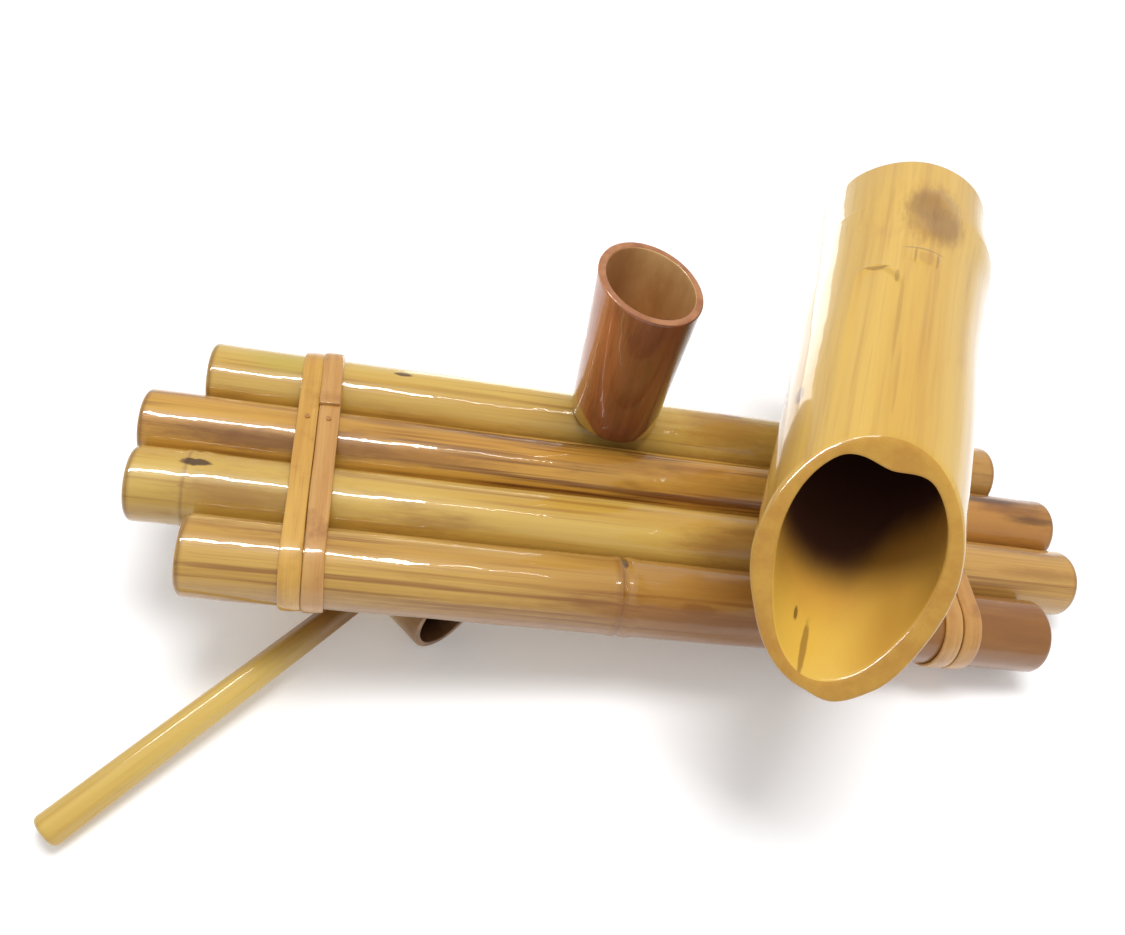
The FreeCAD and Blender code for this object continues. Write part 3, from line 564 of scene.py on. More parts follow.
def belt(spread):
    """A loop round the outer poles, from the front pole's top to the back and round beneath.

    Returns arc lengths, points and outward normals in the (y, z) plane.
    """
    lean = math.atan2(BACK_RADIUS - FRONT_RADIUS, spread)
    top = math.pi / 2 + 2 * lean
    near, far = np.array([0.0, FRONT_RADIUS]), np.array([spread, BACK_RADIUS])
    points, normals = [], []

    def arc(centre, radius, start, end, steps):
        for t in np.linspace(start, end, steps):
            normal = np.array([math.cos(t), math.sin(t)])
            points.append(centre + radius * normal)
            normals.append(normal)

    def straight(centre, radius, steps):
        begin, normal = points[-1], normals[-1]
        finish = centre + radius * normal
        for t in np.linspace(0, 1, steps + 1)[1:-1]:
            points.append(begin + (finish - begin) * t)
            normals.append(normal)

    seam = top + 1e-3
    arc(near, FRONT_RADIUS, seam, top, 2)
    straight(far, BACK_RADIUS, 44)
    arc(far, BACK_RADIUS, top, -math.pi / 2, 30)
    straight(near, FRONT_RADIUS, 44)
    arc(near, FRONT_RADIUS, 1.5 * math.pi, seam, 30)
    points, normals = np.array(points), np.array(normals)
    lengths = np.r_[0, np.cumsum(np.hypot(*np.diff(points, axis=0).T))]
    return lengths, points, normals


def strip_section():
    """Closed outline of the strip: (across, height) from the inner face to the crowned outer one."""
    half = STRIP_WIDTH / 2
    outline = [(-half + 0.5, -1.0), (0.0, -1.0), (half - 0.5, -1.0), (half - 0.1, -0.75), (half, -0.3)]
    for t in np.linspace(0, math.pi, 13):
        outline.append((half * math.cos(t) * 0.99, 0.05 + 0.95 * math.sin(t) ** 0.55))
    outline += [(-half, -0.3), (-half + 0.1, -0.75)]
    return np.array(outline)


def rattan(name, tone, seed):
    look = Look(name)
    band = look.noise(260, 14, 3.0, 0.6, seed)
    colour = look.mix(look.fade(band, 0.3, 0.7), tone[0], tone[1])
    cloud = look.noise(60, 60, 4.0, 0.6, seed + 2)
    colour = look.over(colour, tone[2], look.fade(cloud, 0.5, 0.75), 0.6)
    fibre = look.noise(1500, 22, 3.0, 0.6, seed + 4)
    colour = look.over(colour, tone[2], look.fade(fibre, 0.5, 0.75), 0.3)
    wave = look.noise(150, 70, 2.0, 0.5, seed + 5)
    return look.lacquer(colour, (fibre, 0.12), (wave, 0.3), roughness=0.4, coat_roughness=0.06)


def make_strip(name, seed):
    """One rattan strip, wound round the poles once, its end lapped over its beginning."""
    front_x, slant, way, lap_at, lap, tone = STRIPS[name]
    spread = BACK_Y / math.cos(math.radians(slant))
    lengths, points, normals = belt(spread)
    total = lengths[-1]
    start = lap_at * total
    run = np.arange(start, start + total + lap, STRIP_STEP)
    over = ease(run, start + total - 14, start + total - 3) * STRIP_THICK
    at = way * run % total
    y, z, ny, nz = (np.interp(at, lengths, column) for column in (*points.T, *normals.T))
    section = strip_section()
    width = 1 + 0.03 * np.sin(run / 23 + seed) + 0.02 * np.sin(run / 9 + 2 * seed)
    drift = 0.25 * np.sin(run / 37 + seed)
    rows = []
    for i in range(len(run)):
        for across, height in section:
            lift = height * STRIP_THICK / 2 + STRIP_THICK / 2 + over[i]
            rows.append((across * width[i] + drift[i], y[i] + ny[i] * lift, z[i] + nz[i] * lift))
    columns = len(section)
    faces = grid_faces(len(run), columns, False)
    faces.append(tuple(range(columns - 1, -1, -1)))
    faces.append(tuple((len(run) - 1) * columns + j for j in range(columns)))
    place = RAFT @ Matrix.Translation((front_x * MM, 0, 0)) @ Matrix.Rotation(math.radians(slant), 4, "Z")
    looks = [rattan(f"{name}_rattan", tone, seed)]
    piece = make_piece(f"{name}_band", rows, faces, [0] * len(faces), looks, place)
    bevel = piece.modifiers.new("edges", "BEVEL")
    bevel.width = 0.25 * MM
    bevel.segments = 2
    bevel.limit_method = "ANGLE"
    bevel.angle_limit = math.radians(50)
    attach(piece, "raft")
    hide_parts(name)


for number, name in enumerate(STRIPS, start=1):
    make_strip(name, float(number))

# ---- cup

CUP_AROUND = 96
CUP_FOOT = (-13.0, BACK_Y, 37.2)
CUP_FOOT_RADIUS, CUP_RIM_RADIUS, CUP_HEIGHT, CUP_WALL = 24.6, 26.8, 96.0, 4.0
CUP_LEAN = 4.6
# strength of the painted light on the cup's left side
CUP_PAINTED_LIGHT = 0.8
CUP_SLANT = 12.0
CUP_SEAT = 1.5
CUP_FLOOR, CUP_FLOOR_THICK, CUP_PEG = 7.0, 5.0, 4.0


def plane_x(matrix, normal, height, radius, columns):
    """x on each generator of a culm where it meets a plane given in the raft's frame."""
    rotation = np.array(matrix.to_3x3())
    normal = np.asarray(normal, float) @ rotation
    turn = np.radians(angles_round(columns))
    off = radius * (np.cos(turn) * normal[2] - np.sin(turn) * normal[1])
    return (height - off) / normal[0]


def make_cup():
    lean = math.tan(math.radians(CUP_LEAN))
    along = Vector((-lean, -lean, 1)).normalized()
    place = axes(CUP_FOOT, along, (0, 1, 0))
    slant = math.radians(CUP_SLANT)
    rim_normal = Vector((math.sin(slant) + along.x * math.cos(slant), along.y, math.cos(slant)))
    rim_normal.normalize()
    rim_height = CUP_HEIGHT * along.dot(rim_normal)

    def rim(radius):
        return plane_x(place, rim_normal, rim_height, radius, CUP_AROUND)

    def base(radius):
        return plane_x(place, (0, 0, 1), -CUP_SEAT, radius, CUP_AROUND)

    flare = (CUP_RIM_RADIUS - CUP_FOOT_RADIUS) / CUP_HEIGHT
    top, bottom = rim(CUP_RIM_RADIUS), base(CUP_FOOT_RADIUS)
    outer_top = (top, CUP_FOOT_RADIUS + flare * top)
    outer_bottom = (bottom, CUP_FOOT_RADIUS + flare * bottom)
    inner_r = CUP_RIM_RADIUS - CUP_WALL
    inner_top = (rim(inner_r), CUP_FOOT_RADIUS + flare * rim(inner_r) - CUP_WALL)
    floor_top = CUP_FLOOR + CUP_FLOOR_THICK
    floor_r = CUP_FOOT_RADIUS + flare * floor_top - CUP_WALL
    hollow_r = CUP_FOOT_RADIUS - CUP_WALL
    hollow_base = (base(hollow_r), hollow_r)
    profile = Profile(CUP_AROUND)
    profile.corner(hollow_base, outer_bottom, outer_top, 1.0, 4, (CUT, SKIN))
    profile.run(outer_bottom, outer_top, 46, SKIN)
    profile.corner(outer_bottom, outer_top, inner_top, 1.3, 6, (SKIN, CUT))
    profile.run(outer_top, inner_top, 2, CUT)
    profile.corner(outer_top, inner_top, (floor_top, floor_r), 0.9, 5, (CUT, INSIDE))
    profile.run(inner_top, (floor_top, floor_r), 24, INSIDE)
    profile.corner(inner_top, (floor_top, floor_r), (floor_top, CUP_PEG), 5.0, 6, INSIDE)
    profile.add(floor_top, CUP_PEG, INSIDE)
    profile.add(CUP_FLOOR, CUP_PEG, INSIDE)
    profile.add(CUP_FLOOR, hollow_r - 2, INSIDE)
    profile.add(CUP_FLOOR - 2, hollow_r, INSIDE)
    profile.corner((CUP_FLOOR, hollow_r), hollow_base, outer_bottom, 0.6, 3, (INSIDE, CUT))
    xs, radii, zones = profile.arrays()
    turn = np.radians(angles_round(CUP_AROUND))[None, :]
    waves = 0.12 * np.sin(xs / 19 + 2 * turn) + 0.10 * np.sin(3 * turn + 1) - 0.15
    outer = np.clip((radii - hollow_r) / CUP_WALL, 0, 1)
    piece = revolve("cup_culm", RAFT @ place, xs, radii + waves * outer * ease(radii, 8, 20), zones,
                    [cup_skin(), CUP_CUT, cup_inside()])
    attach(piece, "raft")
    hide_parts("cup")


def cup_skin():
    look = Look("cup_skin")
    band = look.noise(4, 70, 3.0, 0.55, 2.0)
    # painted light and shade: lighter orange on the left side, darker on the right
    across = look.moved(look.y, band, 12.0)
    colour = look.mix(look.fade(band, 0.35, 0.65), srgb(134, 76, 42), srgb(112, 60, 32))
    colour = look.over(colour, srgb(206, 126, 70), look.fade(across, -4.0, -24.0), CUP_PAINTED_LIGHT)
    colour = look.over(colour, srgb(76, 44, 26), look.fade(across, 2.0, 22.0), 0.55)
    patch = look.noise(14, 60, 5.0, 0.6, 5.0)
    colour = look.over(colour, srgb(84, 46, 26), look.fade(patch, 0.48, 0.7), 0.5)
    fibre = look.noise(13, 1100, 3.0, 0.6, 6.0)
    colour = look.over(colour, srgb(70, 40, 24), look.fade(fibre, 0.5, 0.75), 0.35)
    foot = look.fade(look.math("ADD", look.x, look.share(patch, 12.0)), 12.0, 2.0)
    colour = look.over(colour, srgb(70, 36, 20), foot, 0.5)
    # filler at both sides of the foot, the colour of the pole below
    flank = look.math("SUBTRACT", look.math("ABSOLUTE", look.y), look.x)
    flank = look.moved(flank, patch, 10.0)
    colour = look.over(colour, srgb(196, 158, 74), look.fade(flank, 7.5, 10.5), 0.95)
    wave = look.noise(60, 70, 2.0, 0.5, 9.0)
    return look.lacquer(colour, (fibre, 0.10), (wave, 0.3))


def cup_inside():
    look = Look("cup_inside")
    cloud = look.noise(30, 80, 4.0, 0.6, 7.0)
    colour = look.mix(look.fade(cloud, 0.35, 0.7), srgb(244, 206, 146), srgb(226, 180, 118))
    # painted shadow: the left part of the inside is darker, as in the shadow of the wall
    colour = look.over(colour, srgb(150, 100, 66), look.fade(look.y, 6.0, -16.0), 0.75)
    # darker towards the floor
    colour = look.over(colour, srgb(150, 104, 66), look.fade(look.x, 50.0, 5.0), 0.3)
    return look.lacquer(colour, (cloud, 0.2), (cloud, 0.3), roughness=0.5, coat=0.5, coat_roughness=0.15)


CUP_CUT = cut_face("cup_cut", srgb(170, 116, 76), srgb(144, 90, 56))
make_cup()

# ---- spout

SPOUT_AROUND = 240
MOUTH = (50.0, -45.0, 125.0)
SPOUT_TURN, SPOUT_RISE, SPOUT_LENGTH = 20.3, 0.8, 246.6
SPOUT_FRONT_R, SPOUT_REAR_R, SPOUT_WALL = 39.5, 45.5, 8.5
MOUTH_TURN, MOUTH_TILT = 26.8, 41.7
NODE_AT = 202.6
FEATURE_ZONE = 58.0
# wall thickness round the mouth and the outline's departure from a circle, by angle
MOUTH_WALLS = ((-180, 5.4), (-118, 10.2), (-40, 4.7), (-5, 9.8), (25, 5.4), (114, 10.7), (180, 5.4))
MOUTH_OVAL = ((-180, -0.9), (-132, -1.9), (-96, 0.5), (0, 0.0), (70, -0.2), (108, -1.6), (138, -0.2),
              (160, 0.8), (180, -0.9))
RISER_HOLE = 9.0

turn = math.radians(SPOUT_TURN)
rise = math.radians(SPOUT_RISE)
SPOUT_ALONG = Vector((math.sin(turn) * math.cos(rise), math.cos(turn) * math.cos(rise), math.sin(rise)))
SPOUT_PLACE = axes(MOUTH, SPOUT_ALONG)


def spout_radius(x):
    return SPOUT_FRONT_R + (SPOUT_REAR_R - SPOUT_FRONT_R) * x / SPOUT_LENGTH


def spout_relief(x, angle):
    """Height of the spout's skin above its plain cone."""
    ring = x - NODE_AT
    side = bump(turn_gap(angle, 58), 38)
    left = bump(turn_gap(angle, -60), 24)
    relief = 1.3 * side * np.where(ring < 0, bump(ring, 16), bump(ring, 11))
    relief += (0.6 * left + 0.2) * bump(ring, 15)
    relief -= 4.2 * bump(turn_gap(angle, 66), 27) * ease(ring, 0, 30)
    relief += 1.1 * ease(ring, -4, 26) * bump(turn_gap(angle, -50), 75)
    relief += 0.12 * bump(ring - 1.5, 1.3) * (1 - 0.8 * bump(turn_gap(angle, -5), 26))
    relief -= 1.4 * side * bump(x - 140, 34)
    # the bud's notch, and the trough that runs forward from it
    notch = 150 - 8 * (turn_gap(angle, -34) / 13) ** 2
    span = ease(angle, -47, -41) * ease(angle, -16, -20)
    deep = ease(x, notch + 0.8, notch - 1.2) * (0.35 + 0.65 * ease(x, 30, 140))
    relief -= 1.2 * span * deep * ease(x, 10, 60)
    relief += 0.3 * span * bump(x - notch - 2.0, 1.8)
    relief -= 0.5 * bump(turn_gap(angle, -16.5), 2.2) * ease(x, 45, 90) * ease(x, notch + 4, notch - 4)
    # the round branch scar and the two leaf scars in front of it
    scar = np.hypot((x - 198) / 22, turn_gap(angle, -4) / 17)
    relief += 0.45 * ease(scar, 1.15, 0.75) - 0.5 * ease(scar, 0.75, 0.2)
    flat = np.hypot((x - 161) / 6, turn_gap(angle, -7) / 11)
    relief += 0.35 * ease(flat, 1.2, 0.9)
    turn_r = np.radians(angle)
    relief += 0.16 * np.sin(x / 29 + 2 * turn_r) + 0.10 * np.sin(x / 13 - 5 * turn_r + 1)
    relief += 0.05 * np.sin(9 * turn_r + x / 60) - 0.2
    return relief


def mouth_slope():
    """x of the slant cut per mm of radius, at each angle."""
    turn, tilt = math.radians(MOUTH_TURN), math.radians(MOUTH_TILT)
    normal = (-math.sin(turn) * math.cos(tilt), -math.cos(turn) * math.cos(tilt), math.sin(tilt))
    return plane_x(SPOUT_PLACE, normal, 0.0, 1.0, SPOUT_AROUND)


def spout_profile():
    angle = angles_round(SPOUT_AROUND)
    slope = mouth_slope()
    oval = round_table(angle, MOUTH_OVAL)
    wall = round_table(angle, MOUTH_WALLS)

    def outer(x):
        relief = spout_relief(x * np.ones_like(angle), angle)
        return spout_radius(x) + relief * ease(x, -34, 30) + oval * ease(x, 70, 5)

    def inner(x):
        return spout_radius(x) - (SPOUT_WALL + (wall - SPOUT_WALL) * ease(x, 130, 30))

    lip_out = slope * SPOUT_FRONT_R
    for _ in range(12):
        lip_out = slope * outer(lip_out)
    lip_in = slope * inner(lip_out)
    for _ in range(12):
        lip_in = slope * inner(lip_in)
    out_at, in_at = (lip_out, outer(lip_out)), (lip_in, inner(lip_in))
    profile = Profile(SPOUT_AROUND)
    ahead = (lip_out + 12, outer(lip_out + 12))
    within = (lip_in + 12, inner(lip_in + 12))
    outer_edge = profile.corner(ahead, out_at, in_at, (4.2, 3.0), 9, (SKIN, CUT))
    inner_edge = corner(out_at, in_at, within, (2.2, 3.2), 8)
    profile.run(outer_edge[-1], inner_edge[0], 4, CUT)
    profile.corner(out_at, in_at, within, (2.2, 3.2), 8, (CUT, INSIDE))
    begin, end = inner_edge[-1][0], outer_edge[0][0]
    front = NODE_AT - SEPTUM / 2
    for i in range(1, 22):
        x = begin + (60 - begin) * i / 21
        profile.add(x, inner(x), INSIDE)
    for x in np.linspace(60, front - 6, 24)[1:]:
        profile.add(x, inner(x), INSIDE)
    bore = spout_radius(front) - SPOUT_WALL
    profile.corner((0, bore), (front, bore), (front, DRYING_HOLE), 5.0, 5, INSIDE)
    profile.add(front, DRYING_HOLE, INSIDE)
    profile.add(front + SEPTUM, DRYING_HOLE, INSIDE)
    rear_bore = SPOUT_REAR_R - SPOUT_WALL
    profile.corner((front + SEPTUM, 0), (front + SEPTUM, bore), (SPOUT_LENGTH, rear_bore), 5.0, 5, INSIDE)
    rear = SPOUT_LENGTH * np.ones_like(angle)
    profile.corner((front, bore), (rear, rear_bore), (rear, outer(rear)), 1.5, 4, (INSIDE, CUT))
    profile.corner((rear, rear_bore), (rear, outer(rear)), (rear - 12, outer(rear - 12)), (4.0, 4.5), 9,
                   (CUT, SKIN))
    for x in np.arange(SPOUT_LENGTH - 5.5, FEATURE_ZONE, -1.1):
        profile.add(x, outer(x), SKIN)
    for i in range(40):
        x = FEATURE_ZONE + (end - FEATURE_ZONE) * i / 40
        profile.add(x, outer(x), SKIN)
    return profile.arrays()


def spout_skin():
    look = Look("spout_skin")
    band = look.noise(2.6, 42, 3.0, 0.55, 1.0)
    colour = look.mix(look.fade(band, 0.36, 0.64), srgb(208, 170, 82), srgb(196, 154, 66))
    streak = look.noise(4, 150, 3.0, 0.6, 3.0)
    colour = look.over(colour, srgb(160, 112, 54), look.fade(streak, 0.5, 0.75), 0.45)
    fibre = look.noise(8, 620, 3.0, 0.65, 5.0)
    colour = look.over(colour, srgb(166, 122, 62), look.fade(fibre, 0.48, 0.75), 0.25)
    patch = look.noise(12, 22, 5.0, 0.65, 9.0)
    colour = look.over(colour, srgb(170, 118, 62), look.fade(patch, 0.56, 0.72), 0.35)
    scar_tint, line_tint = srgb(134, 90, 42), srgb(104, 66, 30)
    marks = ((198, -4, 44.5, 24, 14, 0.5, scar_tint, 0.7), (190, 4, 44.5, 14, 9, 0.4, line_tint, 0.9),
             (204, -9, 44.5, 12, 8, 0.35, line_tint, 0.9),
             (166, -7, 43.5, 0.8, 9.0, 0.4, line_tint, 0.6), (161, -12, 43.5, 5.5, 0.6, 0.4, line_tint, 0.6),
             (160, 2, 43.5, 5.5, 0.6, 0.4, line_tint, 0.6), (160, -5, 43.5, 5.0, 4.0, 0.25, scar_tint, 0.6),
             # the dark line at 149.5 under the bud notch's overhang is painted shade
             (149.5, -34, 43, 0.8, 6, 0.45, line_tint, 0.5), (143, -21, 43, 4.0, 1.0, 0.35, line_tint, 0.5),
             (114, -17, 42.5, 30, 0.9, 0.22, line_tint, 0.8), (72, -13, 41.5, 20, 0.8, 0.16, line_tint, 0.8),
             (72, -73, 41.5, 5, 3.0, 0.7, line_tint, 0.6))
    for number, (x, turn, radius, long, wide, strength, tint, soft) in enumerate(marks):
        spot = look.spot(x, turn, radius, long, wide, 0.5, 30.0 + number, soft)
        colour = look.over(colour, tint, spot, strength)
    lip = look.fade(look.math("ADD", look.x, look.share(patch, 20.0)), 50.0, -10.0)
    colour = look.over(colour, srgb(176, 120, 44), lip, 0.4)
    wave = look.noise(40, 60, 2.0, 0.5, 12.0)
    return look.lacquer(colour, (fibre, 0.12), (wave, 0.35))


def spout_inside():
    look = Look("spout_inside")
    cloud = look.noise(16, 34, 4.0, 0.6, 7.0)
    side = look.angle()
    gold, orange = srgb(212, 170, 70), srgb(186, 130, 54)
    right = look.math("MULTIPLY", look.fade(side, 30.0, 70.0), look.fade(side, 165.0, 125.0))
    colour = look.over(gold, orange, right, 0.5)
    colour = look.over(colour, orange, look.fade(cloud, 0.52, 0.7), 0.25)
    # painted shade: orange and then nearly black deeper into the culm, starting deeper on the right wall
    deep = look.math("ADD", look.x, look.share(cloud, 16.0))
    deep = look.math("SUBTRACT", deep, look.share(right, 22.0))
    colour = look.over(colour, orange, look.fade(deep, -6.0, 26.0), 0.6)
    colour = look.over(colour, srgb(84, 50, 46), look.fade(deep, 20.0, 50.0), 0.95)
    # painted shade of a crease in the inner wall
    crease_shade = look.spot(-18, -175, 32, 14, 1.4, 0.5, 3.0, 0.5)
    colour = look.over(colour, srgb(110, 70, 30), crease_shade, 0.6)
    for x, turn, long, wide in ((30, -94, 3, 2), (-4, -164, 4, 1)):
        spot = look.spot(x, turn, 31, long, wide, 0.6, x, 0.5)
        colour = look.over(colour, DARK, spot, 0.7)
    return look.lacquer(colour, (cloud, 0.25), (cloud, 0.3), roughness=0.5, coat=0.5, coat_roughness=0.15)


def cut_riser_hole(piece):
    """Bore the hole for the bush through the spout's floor."""
    place = SPOUT_PLACE.inverted() @ Matrix.Translation(SWIVEL_IN_RAFT + Vector((0, 0, 5 * MM)))
    tool_mesh = bpy.data.meshes.new("riser_bore")
    tool = bmesh.new()
    bmesh.ops.create_cone(tool, cap_ends=True, segments=48, radius1=RISER_HOLE * MM,
                          radius2=RISER_HOLE * MM, depth=60 * MM)
    tool.to_mesh(tool_mesh)
    tool.free()
    cutter = new_object("riser_bore", tool_mesh)
    cutter.matrix_world = place
    boolean = piece.modifiers.new("riser_bore", "BOOLEAN")
    boolean.object = cutter
    boolean.solver = "EXACT"
    bpy.context.view_layer.update()
    graph = bpy.context.evaluated_depsgraph_get()
    carved = bpy.data.meshes.new_from_object(piece.evaluated_get(graph))
    piece.modifiers.clear()
    piece.data = carved
    bpy.data.objects.remove(cutter)


def make_spout():
    xs, radii, zones = spout_profile()
    looks = [spout_skin(), cut_face("spout_cut", srgb(188, 142, 52), srgb(176, 126, 42), 1.0), spout_inside()]
    piece = revolve("spout_body", RAFT @ SPOUT_PLACE, xs, radii, zones, looks, bore=cut_riser_hole)
    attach(piece, "spout")
    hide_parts("spout_culm")


make_spout()

# ---- ladle

LADLE_TURN = 43.3
HANDLE_TIP_R, HANDLE_NECK_R, TENON_R = 8.3, 7.0, 5.6
HANDLE_REACH, LADLE_R, LADLE_WALL = 198.0, 22.1, 3.6
LADLE_LENGTH, LADLE_FRONT, LADLE_FOOT, LADLE_FLOOR = 86.0, 40.0, 6.0, 4.0
TIP_AT = Vector((-256.72, -149.0, HANDLE_TIP_R))
LADLE_WAY = Vector((math.cos(math.radians(LADLE_TURN)), math.sin(math.radians(LADLE_TURN)), 0))
JOINT_AT = TIP_AT + LADLE_WAY * HANDLE_REACH
JOINT_AT.z = LADLE_R


def ladle_skin(name, seed, brown_from=None):
    look = Look(name)
    band = look.noise(5, 130, 3.0, 0.55, seed)
    colour = look.mix(look.fade(band, 0.36, 0.64), srgb(208, 176, 92), srgb(192, 154, 70))
    fibre = look.noise(12, 1200, 3.0, 0.65, seed + 2)
    colour = look.over(colour, srgb(156, 116, 66), look.fade(fibre, 0.5, 0.75), 0.35)
    patch = look.noise(16, 50, 4.0, 0.6, seed + 4)
    colour = look.over(colour, srgb(150, 104, 56), look.fade(patch, 0.55, 0.72), 0.4)
    # brown_from turns the skin brown along x; on the handle it is painted shadow under the raft
    if brown_from:
        colour = look.over(colour, srgb(112, 70, 36), look.fade(look.x, *brown_from), 0.85)
    wave = look.noise(50, 120, 2.0, 0.5, seed + 6)
    return look.lacquer(colour, (fibre, 0.10), (wave, 0.2), roughness=0.42, coat=0.6, coat_roughness=0.12)


def make_handle():
    """A solid tapering stick with soft facets, a rounded free end and a tenon through the cup."""
    columns = 48
    way = JOINT_AT - TIP_AT
    run = way.length
    shoulder = LADLE_R + 1.0
    end = LADLE_R + 3.0
    profile = Profile(columns)
    profile.add(0, HANDLE_TIP_R * 0.45, SKIN)
    profile.corner((0, 0), (0, HANDLE_TIP_R), (20, HANDLE_TIP_R), 3.2, 8, SKIN)
    profile.run((3.2, HANDLE_TIP_R), (run - shoulder, HANDLE_NECK_R), 90, SKIN)
    profile.corner((0, HANDLE_NECK_R), (run - shoulder, HANDLE_NECK_R), (run - shoulder, TENON_R), 1.0, 4,
                   SKIN)
    profile.run((run - shoulder, TENON_R), (run + end - 1.5, TENON_R), 12, SKIN, first=0)
    profile.corner((run, TENON_R), (run + end, TENON_R), (run + end, 0), 1.2, 5, SKIN)
    profile.add(run + end, TENON_R * 0.4, SKIN)
    xs, radii, zones = profile.arrays()
    turn = np.radians(angles_round(columns))[None, :]
    facets = 0.16 * np.cos(7 * turn + xs / 160) + 0.12 * np.sin(xs / 21 + turn) - 0.2
    radii = radii + facets * ease(xs, 0, 6) * ease(xs, run - shoulder, run - shoulder - 8)
    # painted shadow: the handle darkens towards the cup, under the raft
    looks = [ladle_skin("handle_skin", 3.0, (104.0, 160.0))]
    piece = revolve("handle_stick", axes(TIP_AT, way), xs, radii, zones, looks, solid=True)
    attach(piece, "ladle")
    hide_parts("ladle_handle")


def make_ladle_cup():
    """A short culm on its side, its node wall at the back."""
    columns = 72
    back = Vector((-LADLE_WAY.y, LADLE_WAY.x, 0))
    start = JOINT_AT - back * LADLE_FRONT
    bore = LADLE_R - LADLE_WALL
    length = LADLE_LENGTH
    floor = length - LADLE_FOOT - LADLE_FLOOR
    profile = Profile(columns)
    profile.corner((10, bore), (0, bore), (0, LADLE_R), 0.8, 4, (INSIDE, CUT))
    profile.corner((0, bore), (0, LADLE_R), (10, LADLE_R), 1.2, 5, (CUT, SKIN))
    profile.run((1.2, LADLE_R), (length - 1.2, LADLE_R), 40, SKIN)
    profile.corner((0, LADLE_R), (length, LADLE_R), (length, bore), 1.2, 5, (SKIN, CUT))
    profile.corner((length, LADLE_R), (length, bore), (0, bore), 0.8, 4, (CUT, INSIDE))
    floor_back = floor + LADLE_FLOOR
    profile.corner((length, bore), (floor_back, bore), (floor_back, 0), 2.0, 4, INSIDE)
    profile.add(floor_back, 1.2, INSIDE)
    profile.add(floor, 1.2, INSIDE)
    profile.corner((floor, 0), (floor, bore), (0, bore), 4.0, 5, INSIDE)
    profile.run((floor - 4, bore), (0.8, bore), 16, INSIDE)
    xs, radii, zones = profile.arrays()
    turn = np.radians(angles_round(columns))[None, :]
    outer = np.clip((radii - bore) / LADLE_WALL, 0, 1)
    radii = radii + outer * (0.08 * np.sin(3 * turn + xs / 20) - 0.08 - 0.35 * bump(xs - floor - 5, 1.2))
    looks = [ladle_skin("ladle_skin", 13.0, (40.0, 0.0)),
             cut_face("ladle_cut", srgb(160, 120, 74), srgb(120, 84, 48)),
             culm_inside("ladle_inside", srgb(120, 86, 56), srgb(90, 62, 40), (0.0, 16.0))]
    piece = revolve("ladle_bowl", axes(start, back), xs, radii, zones, looks)
    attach(piece, "ladle")
    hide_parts("ladle_cup")


make_handle()
make_ladle_cup()

# ---- small CAD parts that stay


def turned_wood(name, light, dark):
    """Plain turned wood with its grain upright."""
    look = Look(name, carried=True)
    grain = look.node("ShaderNodeTexNoise", Vector=look.scaled(500, 500, 30), Scale=1.0,
                      Detail=4.0).outputs[0]
    colour = look.mix(look.fade(grain, 0.35, 0.7), light, dark)
    return look.lacquer(colour, (grain, 0.15), (grain, 0.05), coat=0.3, coat_roughness=0.2)


def moulded(name, colour, roughness):
    """Moulded plastic or rubber with a fine mould texture."""
    look = Look(name, carried=True)
    grain = look.noise(2500, 2500, 3.0, 0.6, 1.0)
    tint = look.over(colour, srgb(60, 60, 60), grain, 0.3)
    return look.finish(Base_Color=tint, Roughness=roughness, Normal=look.height_to_normal(grain, 0.05))


def brass():
    """Brad heads, dulled by the lacquer that runs over them."""
    look = Look("brad_brass", carried=True)
    wear = look.noise(1200, 1200, 3.0, 0.6, 1.0)
    colour = look.mix(look.fade(wear, 0.4, 0.7), srgb(196, 144, 84), srgb(160, 108, 58))
    return look.finish(Base_Color=colour, Metallic=0.5, Roughness=0.35,
                       Normal=look.height_to_normal(wear, 0.04))


def paint(nodes, material):
    for node in nodes:
        mesh = frame["nodes"][node].data
        mesh.materials.clear()
        mesh.materials.append(material)


WOOD = turned_wood("turned_wood", srgb(150, 112, 70), srgb(112, 76, 42))
paint(("cross_dowel_left", "cross_dowel_right", "cup_peg", "spout_block", "block_pegs", "ladle_peg"), WOOD)
paint(("spout_post",), turned_wood("post_culm", srgb(184, 144, 80), srgb(150, 106, 54)))
paint(("swivel_washer", "riser_tube", "hose_tail"), moulded("tube_plastic", srgb(34, 34, 36), 0.42))
paint(("spout_bush",), moulded("bush_rubber", srgb(24, 24, 24), 0.7))
paint(("binding_brads",), brass())

# ---- stage, light, camera

FLOOR_HALF = 3.0


def make_floor():
    look = Look("floor_white", carried=True)
    grain = look.noise(3, 3, 2.0, 0.5, 1.0)
    colour = look.over((0.92, 0.92, 0.93, 1), (0.89, 0.89, 0.90, 1), grain, 0.1)
    mesh = bpy.data.meshes.new("floor")
    h = FLOOR_HALF
    mesh.from_pydata([(-h, -h, 0), (h, -h, 0), (h, h, 0), (-h, h, 0)], [], [(0, 1, 2, 3)])
    mesh.materials.append(look.finish(Base_Color=colour, Roughness=0.8, Specular_IOR_Level=0.2,
                                      Emission_Color=(1, 1, 1, 1), Emission_Strength=0.15))
    floor = new_object("floor", mesh)


def area_light(name, place, aim, size, power, diffuse=True, glossy=True):
    light = bpy.data.lights.new(name, "AREA")
    light.shape = "RECTANGLE"
    light.size, light.size_y = size
    light.energy = power
    lamp = new_object(name, light)
    lamp.location = place
    lamp.rotation_euler = (Vector(aim) - Vector(place)).to_track_quat("-Z", "Y").to_euler()
    lamp.visible_diffuse = diffuse
    lamp.visible_glossy = glossy
    lamp.visible_camera = False


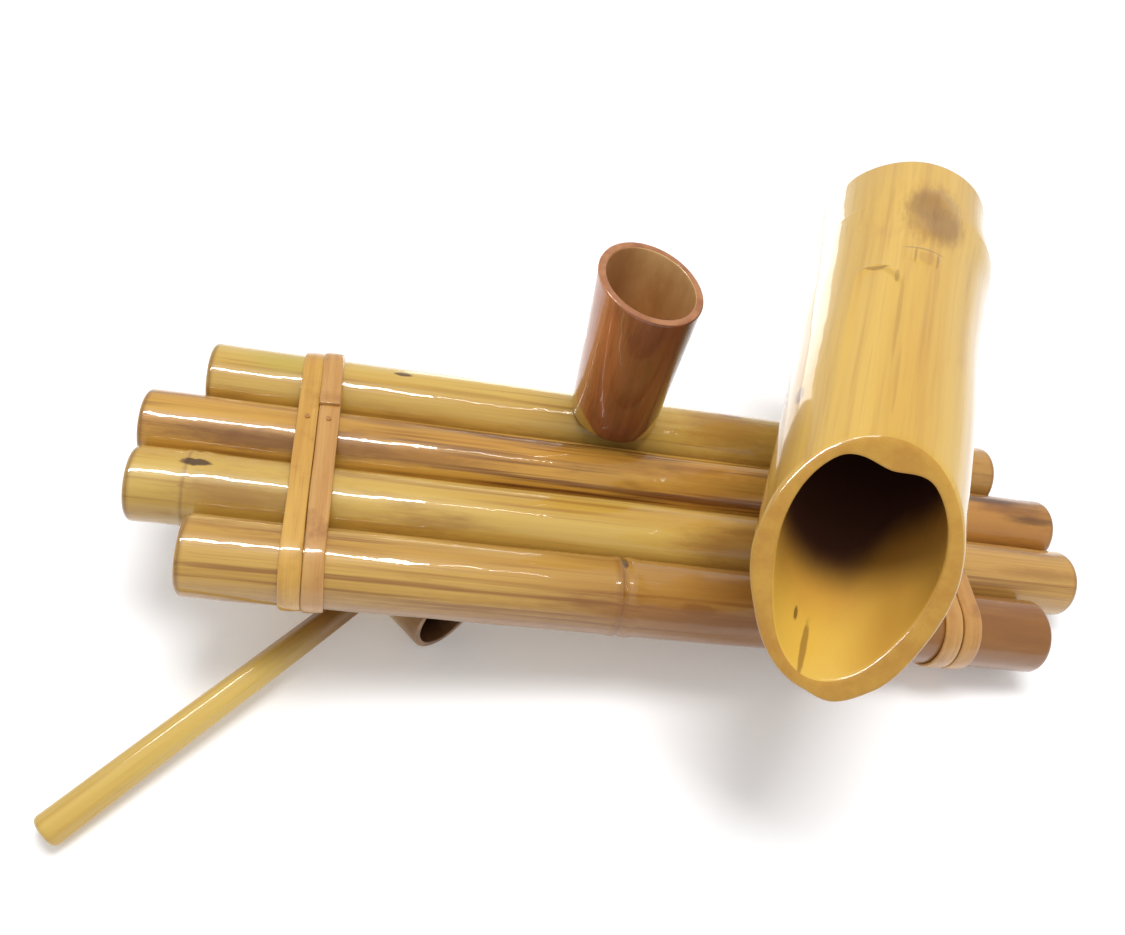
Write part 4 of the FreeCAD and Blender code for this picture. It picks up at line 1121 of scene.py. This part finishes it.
def make_world(strength):
    world = bpy.data.worlds.new("studio")
    world.use_nodes = True
    background = world.node_tree.nodes["Background"]
    background.inputs["Color"].default_value = (1, 1, 1, 1)
    background.inputs["Strength"].default_value = strength
    bpy.context.scene.world = world


CAMERA_AT = Vector((-128.2, -230.1, 391.0))
CAMERA_TURN, CAMERA_DIP, CAMERA_ROLL = 16.04, 49.2, -19.25
CAMERA_LENS, SENSOR = 28.8, 36.0


def make_camera():
    """The camera is set in the raft's own frame."""
    turn, dip, roll = (math.radians(a) for a in (CAMERA_TURN, CAMERA_DIP, CAMERA_ROLL))
    ahead = Vector((math.sin(turn) * math.cos(dip), math.cos(turn) * math.cos(dip), -math.sin(dip)))
    right = Vector((math.cos(turn), -math.sin(turn), 0))
    down = Vector((-math.sin(dip) * math.sin(turn), -math.sin(dip) * math.cos(turn), -math.cos(dip)))
    rolled_right = right * math.cos(roll) + down * math.sin(roll)
    rolled_down = down * math.cos(roll) - right * math.sin(roll)
    matrix = Matrix((rolled_right, -rolled_down, -ahead)).transposed().to_4x4()
    matrix.translation = CAMERA_AT * MM
    data = bpy.data.cameras.new("camera")
    data.lens, data.sensor_width = CAMERA_LENS, SENSOR
    data.clip_start, data.clip_end = 0.01, 50
    data.dof.use_dof = False
    camera = new_object("camera", data)
    camera.matrix_world = RAFT @ matrix
    bpy.context.scene.camera = camera


make_floor()
make_world(0.6)
area_light("key", (0.12, 0.15, 1.5), (0.05, 0.05, 0), (0.7, 0.5), 16.5, glossy=False)
area_light("streak", (-0.215, 0.0, 0.42), (-0.215, 0.0, 0), (0.35, 0.03), 2.05, diffuse=False)
area_light("thin_streak", (0.025, 0.0, 0.42), (0.025, 0.0, 0), (0.10, 0.005), 0.06, diffuse=False)
area_light("glow", (0.0, 0.42, 0.055), (0.0, 0.0, 0.055), (0.24, 0.12), 0.22, diffuse=False)
area_light("low_glow", (0.03, 0.29, 0.002), (0.03, 0.29, 1.0), (0.2, 0.2), 0.10, diffuse=False)
make_camera()
bpy.context.scene.view_settings.view_transform = "Standard"
